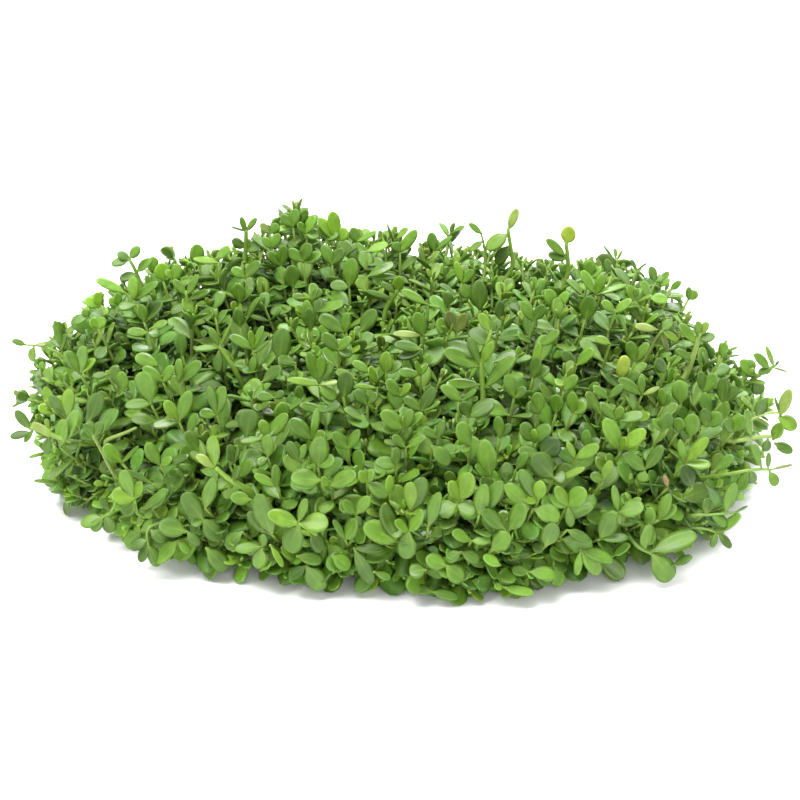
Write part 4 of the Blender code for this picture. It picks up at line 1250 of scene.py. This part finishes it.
def felt_ring(side, share):
    """A ring of the root felt, on its top or under it, at a share of the radius."""
    ring = []
    for k in range(ROOT_SPOKES):
        azimuth = 360 * k / ROOT_SPOKES
        angle = math.radians(azimuth)
        ragged = felt_height(math.cos(angle), math.sin(angle), 0.12, 3.0)
        radius = share * (ROOT_SHARE * rim_radius(azimuth) + ROOT_EDGE_WAVE * ragged)
        x, y = radius * math.cos(angle), radius * math.sin(angle)
        if side == "under":
            height = ROOT_PIT * max(0.0, felt_height(x, y, 2.2 * MM, 7.0))
            height += 0.5 * MM * max(0.0, (share - 0.9) / 0.1) ** 2
        else:
            height = ROOT_TOP + ROOT_LUMP * felt_height(x, y, 4 * MM, 11.0)
            height -= ROOT_EDGE_DROP * max(0.0, (share - 0.85) / 0.15) ** 2
        ring.append((x, y, max(height, 0.0)))
    return ring


def make_felt(material):
    """The root felt: a flat lumpy cake, level where it rests, with a ragged edge."""
    rings = [felt_ring("under", share) for share in np.linspace(ROOT_MIDDLE, 1, ROOT_UNDER_RINGS)]
    rings += [felt_ring("top", share) for share in np.linspace(1, ROOT_MIDDLE, ROOT_TOP_RINGS)]
    points = np.array([*(point for ring in rings for point in ring), (0, 0, 0.1 * MM), (0, 0, ROOT_TOP)])
    ring, after = ring_numbers(ROOT_SPOKES)
    end = len(rings) * ROOT_SPOKES
    last = end - ROOT_SPOKES
    tris = np.concatenate((cap(after, ring, end), cap(last + ring, last + after, end + 1)))
    felt = mesh_object("root_felt", points, tube_quads(len(rings), ROOT_SPOKES), tris)
    felt.data.materials.append(material)
    return felt


def make_fibres(material):
    """Roots and creeping stems that run through the felt, and show on its underside and at its edge."""
    rng = random.Random(77)
    foliage = Foliage()
    for number in range(FIBRES + CREEPERS):
        creeper = number >= FIBRES
        azimuth = rng.uniform(0, 360)
        share = math.sqrt(rng.uniform(0, 1))
        edge = ROOT_SHARE * rim_radius(azimuth)
        place = np.array(direction(azimuth, 0)) * share * edge
        heading = math.radians(azimuth + rng.gauss(0, 35)) if creeper else rng.uniform(0, 2 * math.pi)
        length = rng.uniform(*FIBRE_LENGTH)
        radius = CREEPER_RADIUS if creeper else rng.uniform(*FIBRE_RADIUS)
        low = radius + FLOOR_GAP
        path = []
        for _ in range(FIBRE_POINTS):
            if math.hypot(place[0], place[1]) > edge + FIBRE_OUT:
                heading += TURN_BACK
            path.append((place[0], place[1], low + rng.uniform(0, FIBRE_WAVE)))
            heading += rng.gauss(0, FIBRE_BEND)
            place = place + np.array((math.cos(heading), math.sin(heading), 0)) * length / FIBRE_POINTS
        mix = rng.random()
        colour = CREEPER_GREEN * (0.7 + 0.6 * mix) if creeper else ROOT_TAN * mix + ROOT_BROWN * (1 - mix)
        radii = radius * np.linspace(1, 0.7 if creeper else 0.35, FIBRE_POINTS)
        foliage.stem(np.array(path), radii, np.tile(colour, (FIBRE_POINTS, 1)))
    return foliage.to_object("root_fibres", material)


def make_roots():
    for piece in (make_felt(root_material()), make_fibres(fibre_material())):
        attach(piece, "root")
        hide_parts("root_mat")


# Shader nodes, each of which is added by its inputs, and gives the output that carries its result
def new_material(name):
    """A new material, its node tree and its shader."""
    material = bpy.data.materials.new(name)
    material.use_nodes = True
    return material, material.node_tree, material.node_tree.nodes["Principled BSDF"]


def feed(tree, node, inputs):
    """Sets a node's inputs to constants, or links them to the outputs of other nodes."""
    for name, value in inputs.items():
        if isinstance(value, bpy.types.NodeSocket):
            tree.links.new(value, node.inputs[name])
        else:
            node.inputs[name].default_value = value


def add_node(tree, kind, result, inputs, **settings):
    node = tree.nodes.new("ShaderNode" + kind)
    for name, value in settings.items():
        setattr(node, name, value)
    feed(tree, node, inputs)
    return node.outputs[result]


def object_coords(tree):
    return add_node(tree, "TexCoord", "Object", {})


def noise_of(tree, coords, scale, detail):
    return add_node(tree, "TexNoise", "Fac", {"Vector": coords, "Scale": scale, "Detail": detail})


def mapped(tree, value, source, target, **settings):
    """A value, taken from one range to another."""
    ranges = {"From Min": source[0], "From Max": source[1], "To Min": target[0], "To Max": target[1]}
    return add_node(tree, "MapRange", "Result", {"Value": value, **ranges}, **settings)


def product(tree, first, second):
    return add_node(tree, "Math", "Value", {0: first, 1: second}, operation="MULTIPLY")


def scaled(tree, colour, factor):
    return add_node(tree, "VectorMath", "Vector", {0: colour, "Scale": factor}, operation="SCALE")


def bumps(tree, height, strength, distance):
    return add_node(tree, "Bump", "Normal", {"Strength": strength, "Distance": distance, "Height": height})


def leaf_material():
    """Fleshy green leaf: a fine grained waxy skin, a faint midrib, and light through the blade."""
    material, tree, shader = new_material("leaf_skin")
    tint = add_node(tree, "Attribute", "Color", {}, attribute_name="tint")
    coords = object_coords(tree)
    patches = noise_of(tree, coords, 900, 3)
    shaded = scaled(tree, tint, mapped(tree, patches, (0.3, 0.7), (0.84, 1.16)))

    blade = add_node(tree, "UVMap", "UV", {}, uv_map="blade")
    across = add_node(tree, "SeparateXYZ", "X", {"Vector": blade})
    along = across.node.outputs["Y"]
    from_middle = add_node(tree, "Math", "Value", {0: across, 1: 0.5}, operation="SUBTRACT")
    distance = add_node(tree, "Math", "Value", {0: from_middle}, operation="ABSOLUTE")
    rib = mapped(tree, distance, (0.0, 0.09), (1.0, 0.0), interpolation_type="SMOOTHSTEP")
    rib_share = product(tree, rib, mapped(tree, along, (0.05, 0.95), (0.20, 0.0)))
    with_rib = {"Factor": rib_share, "A": shaded, "B": (0.36, 0.55, 0.11, 1)}
    ribbed = add_node(tree, "Mix", "Result", with_rib, data_type="RGBA")

    grain = noise_of(tree, coords, 5200, 2)
    skin = mapped(tree, patches, (0.3, 0.7), (0.36, 0.56))
    wetness = mapped(tree, noise_of(tree, coords, 170, 2), (0.54, 0.64), (1.0, 0.38))
    surface = {
        "Base Color": ribbed,
        "Roughness": product(tree, skin, wetness),
        "Normal": bumps(tree, grain, 0.35, 0.00004),
        "Specular IOR Level": 0.38,
        "Coat Weight": 0.08,
        "Coat Roughness": 0.3,
    }
    feed(tree, shader, surface)

    yellowed = {"Factor": 1.0, "A": scaled(tree, ribbed, 1.7), "B": (1.0, 1.0, 0.45, 1)}
    glow = add_node(tree, "Mix", "Result", yellowed, data_type="RGBA", blend_type="MULTIPLY")
    through = add_node(tree, "BsdfTranslucent", "BSDF", {"Color": glow})
    both = add_node(tree, "MixShader", "Shader", {"Fac": 0.25, 1: shader.outputs["BSDF"], 2: through})
    feed(tree, tree.nodes["Material Output"], {"Surface": both})
    return material


def root_material():
    """Felt of fine roots: tan and olive, matt and fibrous."""
    material, tree, shader = new_material("root_felt")
    fibres = noise_of(tree, object_coords(tree), 700, 6)
    colour = add_node(tree, "ValToRGB", "Color", {"Fac": fibres})
    dark, pale = colour.node.color_ramp.elements
    dark.color, dark.position = (0.020, 0.018, 0.009, 1), 0.3
    pale.color, pale.position = (0.13, 0.105, 0.048, 1), 0.7
    feed(tree, shader, {"Base Color": colour, "Normal": bumps(tree, fibres, 0.7, 0.0002), "Roughness": 0.8})
    return material


def fibre_material():
    """Fine roots and creeping stems: the tint of each one, with darker bands along it."""
    material, tree, shader = new_material("root_fibre")
    tint = add_node(tree, "Attribute", "Color", {}, attribute_name="tint")
    bands = noise_of(tree, object_coords(tree), 1500, 3)
    surface = {
        "Base Color": scaled(tree, tint, mapped(tree, bands, (0.3, 0.7), (0.6, 1.25))),
        "Roughness": mapped(tree, bands, (0.0, 1.0), (0.5, 0.75)),
        "Normal": bumps(tree, bands, 0.5, 0.00003),
    }
    feed(tree, shader, surface)
    return material


def floor_material():
    material, tree, shader = new_material("pale_floor")
    clouds = noise_of(tree, object_coords(tree), 40, 2)
    roughness = mapped(tree, clouds, (0.0, 1.0), (0.60, 0.66))
    feed(tree, shader, {"Roughness": roughness, "Base Color": (0.93, 0.93, 0.93, 1)})
    return material


def make_stage():
    bpy.ops.mesh.primitive_plane_add(size=6)
    floor = bpy.context.object
    floor.name = "floor"
    floor.data.materials.append(floor_material())
    world = bpy.data.worlds.new("studio")
    bpy.context.scene.world = world
    world.use_nodes = True
    background = world.node_tree.nodes["Background"]
    background.inputs["Color"].default_value = (1.0, 1.0, 1.0, 1)
    background.inputs["Strength"].default_value = 1.0
    soft_light("key", (-0.20, -0.14, 0.74), 0.45, 11.4)
    soft_light("back", (0.20, 0.55, 0.50), 0.5, 7)
    soft_light("front", (0.10, -0.62, 0.20), 0.4, 1.9)


def soft_light(name, place, size, power):
    """A square lamp that faces the plant."""
    light = bpy.data.lights.new(name, "AREA")
    light.size = size
    light.energy = power
    lamp = bpy.data.objects.new(name, light)
    lamp.location = place
    lamp.rotation_euler = (-Vector(place)).to_track_quat("-Z", "Y").to_euler()
    bpy.context.scene.collection.objects.link(lamp)


def make_camera():
    data = bpy.data.cameras.new("camera")
    data.lens = CAMERA_LENS
    data.sensor_width = SENSOR_WIDTH
    data.clip_start = 0.01
    camera = bpy.data.objects.new("camera", data)
    camera.location = CAMERA_PLACE
    camera.rotation_euler = Vector(VIEW_IN).to_track_quat("-Z", "Y").to_euler()
    bpy.context.scene.collection.objects.link(camera)
    bpy.context.scene.camera = camera
    bpy.context.scene.view_settings.view_transform = "Standard"


def main():
    make_camera()
    make_stage()
    leaf_skin = leaf_material()
    make_inner_shoots(leaf_skin)
    make_cad_shoots(leaf_skin)
    make_roots()


main()
